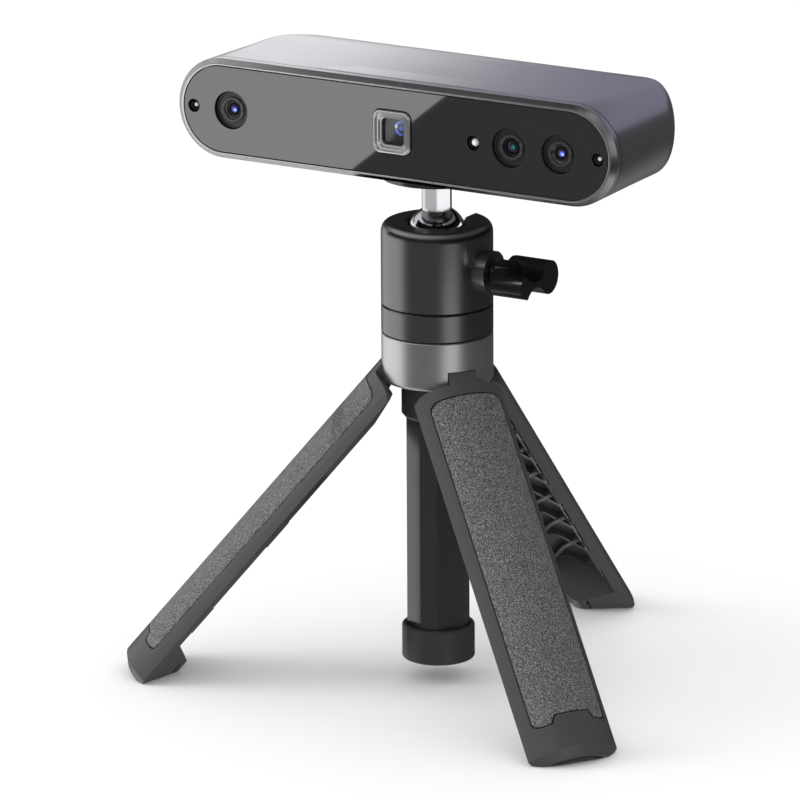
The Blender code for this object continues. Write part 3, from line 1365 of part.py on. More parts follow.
def head_seat(head, root):
    """The threaded insert in the head's underside, and the rubber pad round it."""
    low = -TAPER_HALF_HEIGHT - GAP
    bore = THREAD_RADIUS + GAP
    insert = [
        (0, low + INSERT_HEIGHT),
        (INSERT_RADIUS, low + INSERT_HEIGHT),
        (INSERT_RADIUS, low),
        (bore, low),
        (bore, low + INSERT_HEIGHT - INSERT_END_WALL),
        (0, low + INSERT_HEIGHT - INSERT_END_WALL),
    ]
    turned("tripod_insert", insert, "brass", head, sides=SMALL_SIDES)
    bottom = PLATFORM_BOTTOM + PLATFORM_THICKNESS + GAP
    hole = THREAD_RADIUS + GAP * 2
    slope = (FRONT_HALF_HEIGHT - TAPER_HALF_HEIGHT) / (TAPER_END - SEAM)
    middle_top = HEAD_CENTRE - casing_size(0)[1] - GAP
    rings = []
    for radius, follows in ((HEAD_PAD_RADIUS, False), (HEAD_PAD_RADIUS, True), (hole, True), (hole, False)):
        ring = []
        for across, depth in circle((0, 0), radius, FINE_SIDES):
            ring.append((across, depth, middle_top + slope * depth if follows else bottom))
        rings.append(ring)
    place(loft_mesh(rings, ring_body=True), "head_pad", "foot rubber", root)


def scanner(root):
    head = empty("head_middle", root, at(height=HEAD_CENTRE))
    casing(head)
    back_cover(head)
    bezel(head)
    front_glass(head)
    bench(head)
    camera(head, "left_camera", -CAMERA_SPACING_HALF, CAMERA_RECESS, LENS_RADIUS, "lens glass")
    camera(head, "right_camera", CAMERA_SPACING_HALF, CAMERA_RECESS, LENS_RADIUS, "lens glass")
    camera(head, "colour_camera", COLOUR_CAMERA_X, COLOUR_RECESS, COLOUR_LENS_RADIUS, "green lens")
    projector(head)
    small_light(head, "flash_light", FLASH_X, FLASH_HOLE)
    small_light(head, "left_end_light", -END_LIGHT_X, END_LIGHT_HOLE)
    small_light(head, "right_end_light", END_LIGHT_X, END_LIGHT_HOLE)
    boards(head)
    rear_fittings(head)
    head_seat(head, root)


def centre_footprint(root):
    """Moves the root so that the whole object's box stands centred on the origin."""
    bpy.context.view_layer.update()
    graph = bpy.context.evaluated_depsgraph_get()
    corners = []
    for obj in PARTS.objects:
        if obj.type == "MESH":
            ready = obj.evaluated_get(graph)
            corners.extend(ready.matrix_world @ vertex.co for vertex in ready.data.vertices)
    for axis in (0, 1):
        values = [corner[axis] for corner in corners]
        root.location[axis] -= (min(values) + max(values)) / 2


def main():
    root = empty("stand", None)
    tripod = empty("tripod_middle", root, Matrix.Rotation(TRIPOD_TURN, 4, "Z"))
    collar(tripod)
    mast(tripod, root)
    for number, azimuth in enumerate(LEG_AZIMUTHS, 1):
        leg(number, azimuth, tripod)
    base_ring(root)
    housing(root)
    knob(root)
    ball_stud(root)
    platform(root)
    scanner(root)
    centre_footprint(root)


clear_scene()
PARTS = new_collection("three_d_scanner")
CUTTERS = new_collection("cutters")
main()
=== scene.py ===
# %% [markdown]
# # A hand-held scanner on a ball head and a mini tripod
#
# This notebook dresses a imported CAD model. The frame gives every solid in metres, and nothing here moves or
# resizes one. Round and visible solids are made again with finer steps, at the same sizes, and every other
# solid keeps its mesh and gets a procedural finish.

# %% Load the frame
import json
import math

import bmesh
import bpy
from mathutils import Matrix, Vector

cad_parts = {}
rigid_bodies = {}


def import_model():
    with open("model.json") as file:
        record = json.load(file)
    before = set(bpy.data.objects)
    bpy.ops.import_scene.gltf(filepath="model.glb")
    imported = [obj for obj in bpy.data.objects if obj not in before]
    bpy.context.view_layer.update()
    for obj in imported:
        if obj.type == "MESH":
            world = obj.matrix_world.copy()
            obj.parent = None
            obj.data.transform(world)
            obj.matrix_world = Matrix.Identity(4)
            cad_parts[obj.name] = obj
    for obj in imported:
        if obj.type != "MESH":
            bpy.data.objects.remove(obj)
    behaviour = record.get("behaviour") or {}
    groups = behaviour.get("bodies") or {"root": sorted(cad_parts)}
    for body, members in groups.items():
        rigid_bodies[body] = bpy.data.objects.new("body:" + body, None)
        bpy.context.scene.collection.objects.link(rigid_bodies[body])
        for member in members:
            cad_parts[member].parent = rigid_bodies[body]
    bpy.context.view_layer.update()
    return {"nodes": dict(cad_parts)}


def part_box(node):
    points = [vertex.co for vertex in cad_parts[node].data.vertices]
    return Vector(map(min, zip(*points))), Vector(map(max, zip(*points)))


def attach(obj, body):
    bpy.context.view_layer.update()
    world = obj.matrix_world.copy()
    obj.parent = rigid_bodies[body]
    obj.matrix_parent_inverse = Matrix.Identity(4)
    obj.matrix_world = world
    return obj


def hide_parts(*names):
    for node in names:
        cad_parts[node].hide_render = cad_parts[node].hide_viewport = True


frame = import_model()
nodes = frame["nodes"]


# %% [markdown]
# ## Where things are
#
# The ball, the mast and the collar share one upright axis, so the middle of the ball's box gives it. The
# scanner head is square to the frame and its glass looks along -Y.

# %% The mast's axis and the head's middle
def box_middle(node):
    low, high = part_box(node)
    return (low + high) / 2


MAST = box_middle("ball_stud")
MAST.z = 0
HEAD_HEIGHT = 0.1780
HEAD = MAST + Vector((0, 0, HEAD_HEIGHT))
UPRIGHT = Matrix.Translation(MAST)
FORWARD = Matrix.Rotation(math.radians(90), 4, "X")
REARWARD = Matrix.Rotation(math.radians(-90), 4, "X")
SIDEWAYS = Matrix.Rotation(math.radians(90), 4, "Y")
GAP = 0.0003


def on_head(across=0, depth=0, height=0, turn=Matrix.Identity(4)):
    return Matrix.Translation(HEAD + Vector((across, depth, height))) @ turn


# %% [markdown]
# ## The camera
#
# The picture was taken with a long lens from the scanner's right, a little above it. The numbers below come
# from matching the head, the collar and the feet, and the target lies on the mast's axis.

# %% Camera
CAMERA_AZIMUTH = math.radians(30.66)
CAMERA_ELEVATION = math.radians(15.97)
CAMERA_ROLL = math.radians(-0.31)
CAMERA_DISTANCE = 2.1366
TARGET_ACROSS = -0.01148
TARGET_HEIGHT = 0.08841
SENSOR = 36
LENS = 315

camera_right = Vector((math.cos(CAMERA_AZIMUTH), math.sin(CAMERA_AZIMUTH), 0))
camera_back = Vector(
    (
        math.sin(CAMERA_AZIMUTH) * math.cos(CAMERA_ELEVATION),
        -math.cos(CAMERA_AZIMUTH) * math.cos(CAMERA_ELEVATION),
        math.sin(CAMERA_ELEVATION),
    )
)
camera_up = camera_back.cross(camera_right)
rolled_right = camera_right * math.cos(CAMERA_ROLL) + camera_up * math.sin(CAMERA_ROLL)
rolled_up = camera_up * math.cos(CAMERA_ROLL) - camera_right * math.sin(CAMERA_ROLL)
target = MAST + camera_right * TARGET_ACROSS + Vector((0, 0, TARGET_HEIGHT))
camera_place = target + camera_back * CAMERA_DISTANCE
bpy.ops.object.camera_add()
camera = bpy.context.object
camera.name = "camera"
camera.data.sensor_width = SENSOR
camera.data.lens = LENS
camera.data.clip_end = 50
camera.matrix_world = Matrix(
    [
        (rolled_right.x, rolled_up.x, camera_back.x, camera_place.x),
        (rolled_right.y, rolled_up.y, camera_back.y, camera_place.y),
        (rolled_right.z, rolled_up.z, camera_back.z, camera_place.z),
        (0, 0, 0, 1),
    ]
)
bpy.context.scene.camera = camera
print("camera at", [round(value, 3) for value in camera_place])


# %% [markdown]
# ## Writing shader maths as expressions
#
# A material is a net of nodes. Wiring each Math node by hand hides the idea, so a small class wraps a
# socket and gives it the usual operators. One method makes every other kind of node.

# %% A socket that can be added and multiplied
class Value:
    def __init__(self, net, socket):
        self.net = net
        self.socket = socket

    def __add__(self, other):
        return self.net.maths("ADD", self, other)

    def __radd__(self, other):
        return self.net.maths("ADD", other, self)

    def __sub__(self, other):
        return self.net.maths("SUBTRACT", self, other)

    def __rsub__(self, other):
        return self.net.maths("SUBTRACT", other, self)

    def __mul__(self, other):
        return self.net.maths("MULTIPLY", self, other)

    def __rmul__(self, other):
        return self.net.maths("MULTIPLY", other, self)

    def __truediv__(self, other):
        return self.net.maths("DIVIDE", self, other)


# %% A net of nodes
class Net:
    def __init__(self, tree):
        self.tree = tree

    def node(self, kind, settings=None, values=None):
        """A node of a type, its settings and then the values or links of its sockets."""
        made = self.tree.nodes.new(kind)
        for name, value in (settings or {}).items():
            if name == "stops":
                ramp = made.color_ramp
                while len(ramp.elements) < len(value):
                    ramp.elements.new(0.5)
                for element, (spot, colour) in zip(ramp.elements, value):
                    element.position = spot
                    element.color = (*colour, 1)
            else:
                setattr(made, name, value)
        for name, value in (values or {}).items():
            self.feed(made.inputs[name], value)
        return made

    def feed(self, socket, value):
        if isinstance(value, Value):
            self.tree.links.new(value.socket, socket)
        elif isinstance(value, bpy.types.NodeSocket):
            self.tree.links.new(value, socket)
        else:
            socket.default_value = value

    def maths(self, operation, *terms):
        made = self.node("ShaderNodeMath", {"operation": operation}, dict(enumerate(terms)))
        return Value(self, made.outputs[0])

    def place(self):
        """Object coordinates, which are metres in the frame for every piece."""
        return self.node("ShaderNodeTexCoord").outputs["Object"]

    def parts(self, vector):
        made = self.node("ShaderNodeSeparateXYZ", values={0: vector})
        return [Value(self, socket) for socket in made.outputs]

    def stretched(self, vector, scale):
        made = self.node("ShaderNodeMapping", values={"Vector": vector, "Scale": scale})
        return made.outputs["Vector"]

    def noise(self, vector, size, detail=2.0, roughness=0.5):
        """Soft noise with features about size metres across, from 0 to 1."""
        values = {"Vector": vector, "Scale": 1 / size, "Detail": detail, "Roughness": roughness}
        made = self.node("ShaderNodeTexNoise", {"noise_dimensions": "3D"}, values)
        return Value(self, made.outputs[0])

    def cells(self, vector, size, feature="F1"):
        made = self.node("ShaderNodeTexVoronoi", {"feature": feature}, {"Vector": vector, "Scale": 1 / size})
        return Value(self, made.outputs["Distance"])

    def smooth(self, value, low, high):
        """0 below low, 1 above high and a soft step between."""
        values = {"Value": value, "From Min": low, "From Max": high}
        made = self.node("ShaderNodeMapRange", {"interpolation_type": "SMOOTHSTEP"}, values)
        return Value(self, made.outputs[0])

    def blend(self, share, first, second):
        """A colour between two colours or sockets."""
        made = self.node("ShaderNodeMix", {"data_type": "RGBA"})
        self.feed(made.inputs[0], share)
        self.feed(made.inputs[6], first if not isinstance(first, tuple) else (*first, 1))
        self.feed(made.inputs[7], second if not isinstance(second, tuple) else (*second, 1))
        return made.outputs[2]

    def bump(self, height, strength, depth):
        values = {"Height": height, "Strength": strength, "Distance": depth}
        return self.node("ShaderNodeBump", values=values).outputs["Normal"]


# %% A finish with its starting values
def finish(name, colour, roughness, metallic=0.0, **more):
    """A material with plain starting values. Its net and shader are returned for the detail."""
    made = bpy.data.materials.new(name)
    made.use_nodes = True
    made.diffuse_color = (*colour, 1)
    shader = made.node_tree.nodes["Principled BSDF"]
    shader.inputs["Base Color"].default_value = (*colour, 1)
    shader.inputs["Roughness"].default_value = roughness
    shader.inputs["Metallic"].default_value = metallic
    for socket, value in more.items():
        shader.inputs[socket.replace("_", " ")].default_value = value
    print("finish", name)
    return made, Net(made.node_tree), shader.inputs


# %% [markdown]
# ## Metals
#
# The scanner's case is bead-blasted and anodised: a fine even grain that scatters the reflection a little.
# The ball head is the same in black. The collar and the mast's inner tubes are turned on a lathe, which
# leaves very fine rings round the axis, so their grain is noise that is stretched round and squeezed along
# it.

# %% Blasted metals
GRAIN = 0.00022


def blasted_metal(name, colour, roughness, wear_size, pit=0.10):
    made, net, shader = finish(name, colour, roughness, 1.0)
    spot = net.place()
    grain = net.noise(spot, GRAIN, 3)
    wear = net.noise(spot, wear_size, 3)
    darker = tuple(part * 0.86 for part in colour)
    net.feed(shader["Base Color"], net.blend(wear * 0.4 + grain * 0.2, colour, darker))
    net.feed(shader["Roughness"], roughness - 0.04 + wear * 0.05 + grain * 0.05)
    net.feed(shader["Normal"], net.bump(grain, pit, 0.00002))
    return made


case_metal = blasted_metal("case_metal", (0.66, 0.66, 0.695), 0.28, 0.03)
plate_metal = blasted_metal("plate_metal", (0.62, 0.62, 0.65), 0.22, 0.02, 0.04)
black_metal = blasted_metal("black_metal", (0.26, 0.26, 0.265), 0.28, 0.012, 0.03)


# %% Turned metals: rings along the axis of the lathe
def turned_metal(name, colour, roughness, ring=0.00012, depth=0.00001):
    made, net, shader = finish(name, colour, roughness, 1.0)
    across, along, up = net.parts(net.place())
    out_x = across - MAST.x
    out_y = along - MAST.y
    radius = net.maths("SQRT", out_x * out_x + out_y * out_y)
    lathe = net.node("ShaderNodeCombineXYZ", values={0: radius, 2: up}).outputs[0]
    rings = net.noise(lathe, ring, 2)
    haze = net.noise(net.place(), 0.008, 3)
    darker = tuple(part * 0.88 for part in colour)
    net.feed(shader["Base Color"], net.blend(rings * 0.5 + haze * 0.3, colour, darker))
    net.feed(shader["Roughness"], roughness - 0.04 + rings * 0.06 + haze * 0.04)
    net.feed(shader["Normal"], net.bump(rings, 0.12, depth))
    return made


collar_metal = turned_metal("collar_metal", (0.74, 0.74, 0.75), 0.34, 0.00012, 0.000003)
mast_steel = turned_metal("mast_steel", (0.62, 0.62, 0.63), 0.22)
pin_steel = turned_metal("pin_steel", (0.55, 0.55, 0.56), 0.28, 0.0002)
chrome = turned_metal("chrome", (0.86, 0.87, 0.89), 0.09, 0.0003, 0.000002)
turned_brass = turned_metal("turned_brass", (0.80, 0.62, 0.30), 0.26)

# %% Polished rim round the glass, and the projector's stepped frame
rim_metal, net, shader = finish("rim_metal", (0.92, 0.92, 0.94), 0.16, 1.0)
spot = net.stretched(net.place(), (0.02, 1, 1))
lines = net.noise(spot, 0.00008, 2)
net.feed(shader["Base Color"], net.blend(lines * 0.4, (0.94, 0.94, 0.96), (0.84, 0.84, 0.86)))
net.feed(shader["Roughness"], 0.12 + lines * 0.10)

chamfer_metal, net, shader = finish("chamfer_metal", (0.42, 0.42, 0.435), 0.24, 1.0)
spot = net.place()
grain = net.noise(spot, GRAIN, 3)
rub = net.smooth(net.noise(spot, 0.004, 4), 0.5, 0.8)
net.feed(shader["Base Color"], net.blend(rub * 0.5 + grain * 0.2, (0.38, 0.38, 0.395), (0.54, 0.54, 0.555)))
net.feed(shader["Roughness"], 0.20 + grain * 0.06 + rub * 0.04)

step_metal, net, shader = finish("step_metal", (0.92, 0.92, 0.93), 0.30, 1.0)
grain = net.noise(net.place(), 0.0003, 3)
net.feed(shader["Base Color"], net.blend(grain * 0.5, (0.95, 0.95, 0.96), (0.86, 0.86, 0.87)))
net.feed(shader["Roughness"], 0.26 + grain * 0.10)

# %% [markdown]
# ## Glass and lenses
#
# The front panel is dark glass with a reflecting coat, so it mirrors the studio strongly. A reflecting coat
# is a high index of refraction on a nearly black base. Faint smears keep its gloss from looking computed.

# %% Front glass, and lenses with a painted reflection and a painted glint
front_dark, net, shader = finish("front_dark", (0.010, 0.010, 0.011), 0.04, 0.0, IOR=2.6)
spot = net.place()
smear = net.noise(net.stretched(spot, (0.35, 1, 1)), 0.009, 4, 0.6)
dust = net.noise(spot, 0.0009, 2)
net.feed(shader["Base Color"], net.blend(smear, (0.008, 0.008, 0.009), (0.013, 0.013, 0.015)))
net.feed(shader["Roughness"], 0.02 + net.smooth(smear, 0.55, 0.8) * 0.04 + net.smooth(dust, 0.7, 0.9) * 0.03)


def lens_coat(name, node, painted_reflection_tint, glint, glint_radius, glow, glint_at=None, band=None):
    """A lens: nearly black, with a painted reflection off its middle and a painted glint in it, fed to the
    emission as well, so they glow.
    """
    # glow is the emission strength: the lens glows with its painted colours, though it is no lamp.
    made, net, shader = finish(name, painted_reflection_tint, 0.03, 0.0, IOR=1.6, Emission_Strength=glow)
    centre = box_middle(node)
    across, along, up = net.parts(net.place())

    def distance(side, rise):
        right = across - (centre.x + side)
        higher = up - (centre.z + rise)
        return net.maths("SQRT", right * right + higher * higher)

    middle = distance(0, 0)
    # patch is the painted reflection: for a band, a ring on the left half with a faint middle, and otherwise
    # a soft round spot near the middle.
    if band:
        inside = 1 - net.smooth(middle, band[1], band[1] + 0.0003)
        ring = net.smooth(middle, band[0], band[0] + 0.0003) * inside
        left_half = 1 - net.smooth(across, centre.x - band[0], centre.x + band[0])
        patch = ring * left_half + (1 - net.smooth(middle, band[0] * 0.4, band[0] * 0.6)) * 0.5
    else:
        patch = 1 - net.smooth(distance(0.0002, -0.0001), 0.0004, 0.0010)
    # dark is a faint painted blue glow at the middle that fades to near black outwards.
    dark = net.blend(net.smooth(middle, 0, 0.002), (0.010, 0.010, 0.035), (0.004, 0.004, 0.008))
    dark_with_painted_reflection = net.blend(patch, dark, painted_reflection_tint)
    # spot is the painted glint, a small pale disc off the middle.
    glint_side, glint_rise = glint_at or (glint_radius * 1.6, -glint_radius)
    spot = 1 - net.smooth(distance(glint_side, glint_rise), glint_radius * 0.6, glint_radius)
    coloured = net.blend(spot, dark_with_painted_reflection, glint)
    # The painted reflection and the painted glint go into both the base colour and the emission colour.
    net.feed(shader["Base Color"], coloured)
    net.feed(shader["Emission Color"], coloured)
    net.feed(shader["Roughness"], 0.03 + patch * 0.04)
    return made


# Colours and places of the lenses' painted reflections and painted glints.
LENS_BLUE = (0.10, 0.16, 0.80)
WHITE_GLINT = (0.95, 0.95, 1.0)
GREEN = (0.015, 0.11, 0.08)
PALE_GREEN = (0.03, 0.20, 0.16)
BAND = (0.0014, 0.0022)
BAND_GLINT = (-0.0019, 0.0005)
PROJECTOR_BLUE = (0.14, 0.22, 0.95)
left_lens_painted_reflection = lens_coat("left_lens_painted_reflection", "left_camera_lens", LENS_BLUE, WHITE_GLINT, 0.00028, 0.6)
right_lens_painted_reflection = lens_coat("right_lens_painted_reflection", "right_camera_lens", LENS_BLUE, WHITE_GLINT, 0.00028, 0.6)
colour_lens_painted_reflection = lens_coat("colour_lens_painted_reflection", "colour_camera_lens", GREEN, PALE_GREEN, 0.0003, 0.3)
projector_painted_reflection = lens_coat(
    "projector_painted_reflection", "projector_lens", PROJECTOR_BLUE, WHITE_GLINT, 0.0006, 2.4, BAND_GLINT, BAND
)

window_glass, net, shader = finish("window_glass", (0.01, 0.01, 0.011), 0.03, 0.0, IOR=2.3, Alpha=0.50)
smear = net.noise(net.place(), 0.003, 3)
net.feed(shader["Roughness"], 0.02 + smear * 0.03)
net.feed(shader["Base Color"], net.blend(smear, (0.015, 0.015, 0.017), (0.03, 0.03, 0.033)))

# %% [markdown]
# ## Plastics and rubbers
#
# The legs are moulded in charcoal plastic from a spark-eroded mould, which leaves a very fine matt texture.
# The grips are a grainy rubber: light crumbs, about 0.4 mm across, in a dark ground.


# %% Moulded plastics
def moulded(name, colour, roughness, texture, depth, lighter=1.25, **more):
    made, net, shader = finish(name, colour, roughness, **more)
    spot = net.place()
    skin = net.noise(spot, texture, 3, 0.6)
    flow = net.noise(spot, 0.02, 3)
    pale = tuple(part * lighter for part in colour)
    net.feed(shader["Base Color"], net.blend(skin * 0.5 + flow * 0.4, colour, pale))
    net.feed(shader["Roughness"], roughness - 0.05 + skin * 0.08 + flow * 0.06)
    net.feed(shader["Normal"], net.bump(skin, 0.25, depth))
    return made


leg_plastic = moulded("leg_plastic", (0.046, 0.047, 0.050), 0.35, 0.00025, 0.00003)
cap_plastic = moulded("cap_plastic", (0.028, 0.028, 0.030), 0.42, 0.0003, 0.00003)
cover_plastic = moulded("cover_plastic", (0.032, 0.032, 0.035), 0.45, 0.00035, 0.00004)
button_plastic = moulded("button_plastic", (0.045, 0.045, 0.048), 0.40, 0.0003, 0.00002)
optics_black = moulded("optics_black", (0.012, 0.012, 0.013), 0.24, 0.0002, 0.00001, IOR=1.9)
ring_black = moulded("ring_black", (0.030, 0.030, 0.032), 0.20, 0.0002, 0.00001, IOR=1.9)
deep_black = moulded("deep_black", (0.006, 0.006, 0.006), 0.35, 0.0002, 0.00001)
gloss_black = moulded("gloss_black", (0.005, 0.005, 0.006), 0.16, 0.004, 0.00001)
mark_white = moulded("mark_white", (0.60, 0.60, 0.60), 0.45, 0.0003, 0.00001)

# %% Mast tube: glossy black paint on metal
tube_black, net, shader = finish("tube_black", (0.026, 0.026, 0.027), 0.16, 0.0, IOR=1.65)
spot = net.place()
ripple = net.noise(net.stretched(spot, (1, 1, 0.05)), 0.002, 2)
speck = net.noise(spot, 0.0006, 2)
net.feed(shader["Base Color"], net.blend(ripple, (0.024, 0.024, 0.025), (0.030, 0.030, 0.031)))
net.feed(shader["Roughness"], 0.12 + ripple * 0.06 + net.smooth(speck, 0.65, 0.9) * 0.06)

# %% Grip rubber and foot rubber
CRUMB = 0.00042

grip_rubber, net, shader = finish("grip_rubber", (0.16, 0.16, 0.165), 0.75)
spot = net.place()
crumbs = net.noise(spot, CRUMB, 2, 0.7)
fine = net.noise(spot, CRUMB / 2, 1)
mixed = net.smooth(crumbs * 0.65 + fine * 0.35, 0.40, 0.70)
net.feed(shader["Base Color"], net.blend(mixed, (0.028, 0.028, 0.030), (0.29, 0.29, 0.30)))
net.feed(shader["Roughness"], 0.42 + mixed * 0.15)
net.feed(shader["Normal"], net.bump(mixed, 0.6, 0.00012))

foot_rubber = moulded("foot_rubber", (0.022, 0.022, 0.023), 0.60, 0.0004, 0.00006, 1.5)

# %% Lights and circuit board
light_cap, net, shader = finish("light_cap", (0.86, 0.86, 0.84), 0.18, 0.0, Coat_Weight=0.6)
cloud = net.noise(net.place(), 0.0006, 3)
net.feed(shader["Base Color"], net.blend(cloud * 0.6, (0.90, 0.90, 0.88), (0.66, 0.66, 0.64)))
net.feed(shader["Roughness"], 0.14 + cloud * 0.1)

board_green, net, shader = finish("board_green", (0.02, 0.16, 0.07), 0.40)
spot = net.place()
lattice = net.cells(spot, 0.0016, "DISTANCE_TO_EDGE")
copper = 1 - net.smooth(lattice, 0.03, 0.07)
net.feed(shader["Base Color"], net.blend(copper * 0.6, (0.015, 0.14, 0.06), (0.05, 0.30, 0.12)))
net.feed(shader["Roughness"], 0.42 - copper * 0.1)


# %% [markdown]
# ## Modelling helpers
#
# A lathe part is a profile that is spun. The profile starts as one point of a plane and is extruded from
# point to point, as by hand, and then the spin operator turns it round its axis. A piece that the solid
# already has right is a merged copy of it with softened edges.

# %% Selection and merging
MERGE = 0.000004
SPIN_STEPS = 96


def calm():
    if bpy.context.object and bpy.context.object.mode != "OBJECT":
        bpy.ops.object.mode_set(mode="OBJECT")
    bpy.ops.object.select_all(action="DESELECT")


def pick(obj):
    calm()
    obj.select_set(True)
    bpy.context.view_layer.objects.active = obj


def one_point(name, start):
    """A plane whose corners are merged into one point, which stays selected in edit mode."""
    calm()
    bpy.ops.mesh.primitive_plane_add(size=0.001)
    made = bpy.context.object
    made.name = name
    made.data.name = name
    bpy.ops.object.mode_set(mode="EDIT")
    bpy.ops.mesh.select_mode(type="VERT")
    bpy.ops.mesh.select_all(action="SELECT")
    bpy.ops.mesh.merge(type="CENTER")
    bpy.ops.transform.translate(value=start)
    return made


def chain(name, points, closed=False):
    """Extrudes one point along a row of points. The object is left in edit mode."""
    made = one_point(name, points[0])
    row = list(points) + ([points[0]] if closed else [])
    for before, here in zip(row, row[1:]):
        step = Vector(here) - Vector(before)
        bpy.ops.mesh.extrude_region_move(TRANSFORM_OT_translate={"value": step})
    bpy.ops.mesh.select_all(action="SELECT")
    if closed:
        bpy.ops.mesh.remove_doubles(threshold=MERGE)
    return made


def close_up():
    """Merges doubles and turns the faces outwards, in edit mode."""
    bpy.ops.mesh.select_all(action="SELECT")
    bpy.ops.mesh.remove_doubles(threshold=MERGE)
    bpy.ops.mesh.normals_make_consistent(inside=False)
    bpy.ops.object.mode_set(mode="OBJECT")


def set_down(obj, matrix):
    pick(obj)
    obj.matrix_world = matrix
    bpy.ops.object.transform_apply(location=True, rotation=True, scale=True)
    return obj


# %% Softening, cutting and smoothing
def apply_modifier(obj, kind, **settings):
    pick(obj)
    modifier = obj.modifiers.new(kind.lower(), kind)
    for name, value in settings.items():
        setattr(modifier, name, value)
    bpy.ops.object.modifier_apply(modifier=modifier.name)
    return obj


def soften(obj, width, segments=2, angle=35):
    """Rounds the edges sharper than an angle, as every moulded or machined edge is."""
    return apply_modifier(
        obj,
        "BEVEL",
        width=width,
        segments=segments,
        limit_method="ANGLE",
        angle_limit=math.radians(angle),
        use_clamp_overlap=True,
        miter_outer="MITER_ARC",
    )


def carve(obj, tool, operation="DIFFERENCE"):
    apply_modifier(obj, "BOOLEAN", object=tool, operation=operation, solver="EXACT")
    bpy.data.objects.remove(tool, do_unlink=True)
    return obj


def smooth(obj, angle=34):
    pick(obj)
    bpy.ops.object.shade_smooth_by_angle(angle=math.radians(angle))
    return apply_modifier(obj, "WEIGHTED_NORMAL", weight=80, keep_sharp=True)


# %% Dressing a piece
made_pieces = []


def dress(obj, material, body, *stands_for, slot=None):
    """Gives a finished piece its material and body, and hides the solids that it stands for."""
    obj.data.materials.clear()
    obj.data.materials.append(material)
    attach(obj, body)
    if stands_for:
        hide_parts(*stands_for)
    made_pieces.append(obj.name)
    print("made", obj.name, "with", len(obj.data.polygons), "faces, in", material.name)
    return obj


# %% Lathe parts, extrusions and merged copies
def spun(name, profile, matrix, closed=False, steps=SPIN_STEPS):
    """A lathe part: profile points are radius and height about the local Z axis."""
    made = chain(name, [(radius, 0, height) for radius, height in profile], closed)
    bpy.ops.mesh.spin(steps=steps, angle=math.radians(360), center=(0, 0, 0), axis=(0, 0, 1))
    close_up()
    return set_down(made, matrix)


def extruded(name, outline, depth, matrix, low=0.0):
    """A closed outline of x and y, filled and extruded along Z from low."""
    made = chain(name, [(across, up, low) for across, up in outline], True)
    bpy.ops.mesh.edge_face_add()
    bpy.ops.mesh.extrude_region_move(TRANSFORM_OT_translate={"value": (0, 0, depth)})
    close_up()
    return set_down(made, matrix)


def refined(node, name, width=0.0, segments=2, angle=35, shade=34):
    """A merged copy of a solid with its flat faces joined up and its edges softened."""
    made = bpy.data.objects.new(name, nodes[node].data.copy())
    bpy.context.scene.collection.objects.link(made)
    pick(made)
    if made.data.has_custom_normals:
        bpy.ops.mesh.customdata_custom_splitnormals_clear()
    bpy.ops.object.mode_set(mode="EDIT")
    bpy.ops.mesh.select_all(action="SELECT")
    bpy.ops.mesh.remove_doubles(threshold=MERGE)
    bpy.ops.mesh.dissolve_limited(angle_limit=math.radians(0.5))
    bpy.ops.object.mode_set(mode="OBJECT")
    if width:
        soften(made, width, segments, angle)
    return smooth(made, shade)


# %% Outlines
def arc(middle, radius, start, end, steps):
    """Points round a middle, from one angle to another in degrees."""
    points = []
    for step in range(steps + 1):
        angle = math.radians(start + (end - start) * step / steps)
        points.append((middle[0] + radius * math.cos(angle), middle[1] + radius * math.sin(angle)))
    return points


def rounded_box(half_width, half_height, radius, steps=8):
    points = []
    for across, up, start in ((1, 1, 0), (-1, 1, 90), (-1, -1, 180), (1, -1, 270)):
        corner = (across * (half_width - radius), up * (half_height - radius))
        points.extend(arc(corner, radius, start, start + 90, steps))
    return points


# %% [markdown]
# ## The scanner's case
#
# The case is a long tapered shell. Its front is a stadium and its rear is a rounder, flatter shape, so it
# is a loft: one ring of points is extruded back, and each end of the new ring is resized about its own
# middle and slid to its place. The shell then gets its wall, and the openings for the back cover and the
# tripod insert are cut.

# %% Sizes of the case
FRONT_FACE = -0.0261
SEAM = -0.0222
FRONT_WIDTH = 0.0761
FRONT_HEIGHT = 0.0155
TAPER_END = 0.0134
TAPER_WIDTH = 0.0728
TAPER_HEIGHT = 0.01366
TAPER_CURVE = 0.00705
REAR_FACE = 0.0287
REAR_WIDTH = 0.0536
REAR_HEIGHT = 0.01166
REAR_CURVE = 0.0050
WALL = 0.0020
END_STEPS = 28
REAR_STEPS = 10


def end_ring(width, height, curve, depth):
    """A stadium ring of points: two round ends with straight runs between them."""
    right = [
        (width - curve + curve * math.cos(angle), depth, height * math.sin(angle))
        for angle in (math.radians(-90 + 180 * step / END_STEPS) for step in range(END_STEPS + 1))
    ]
    left = [(-across, deep, -up) for across, deep, up in right]
    return right + left


def selected_points(obj):
    mesh = bmesh.from_edit_mesh(obj.data)
    return mesh, [point for point in mesh.verts if point.select]


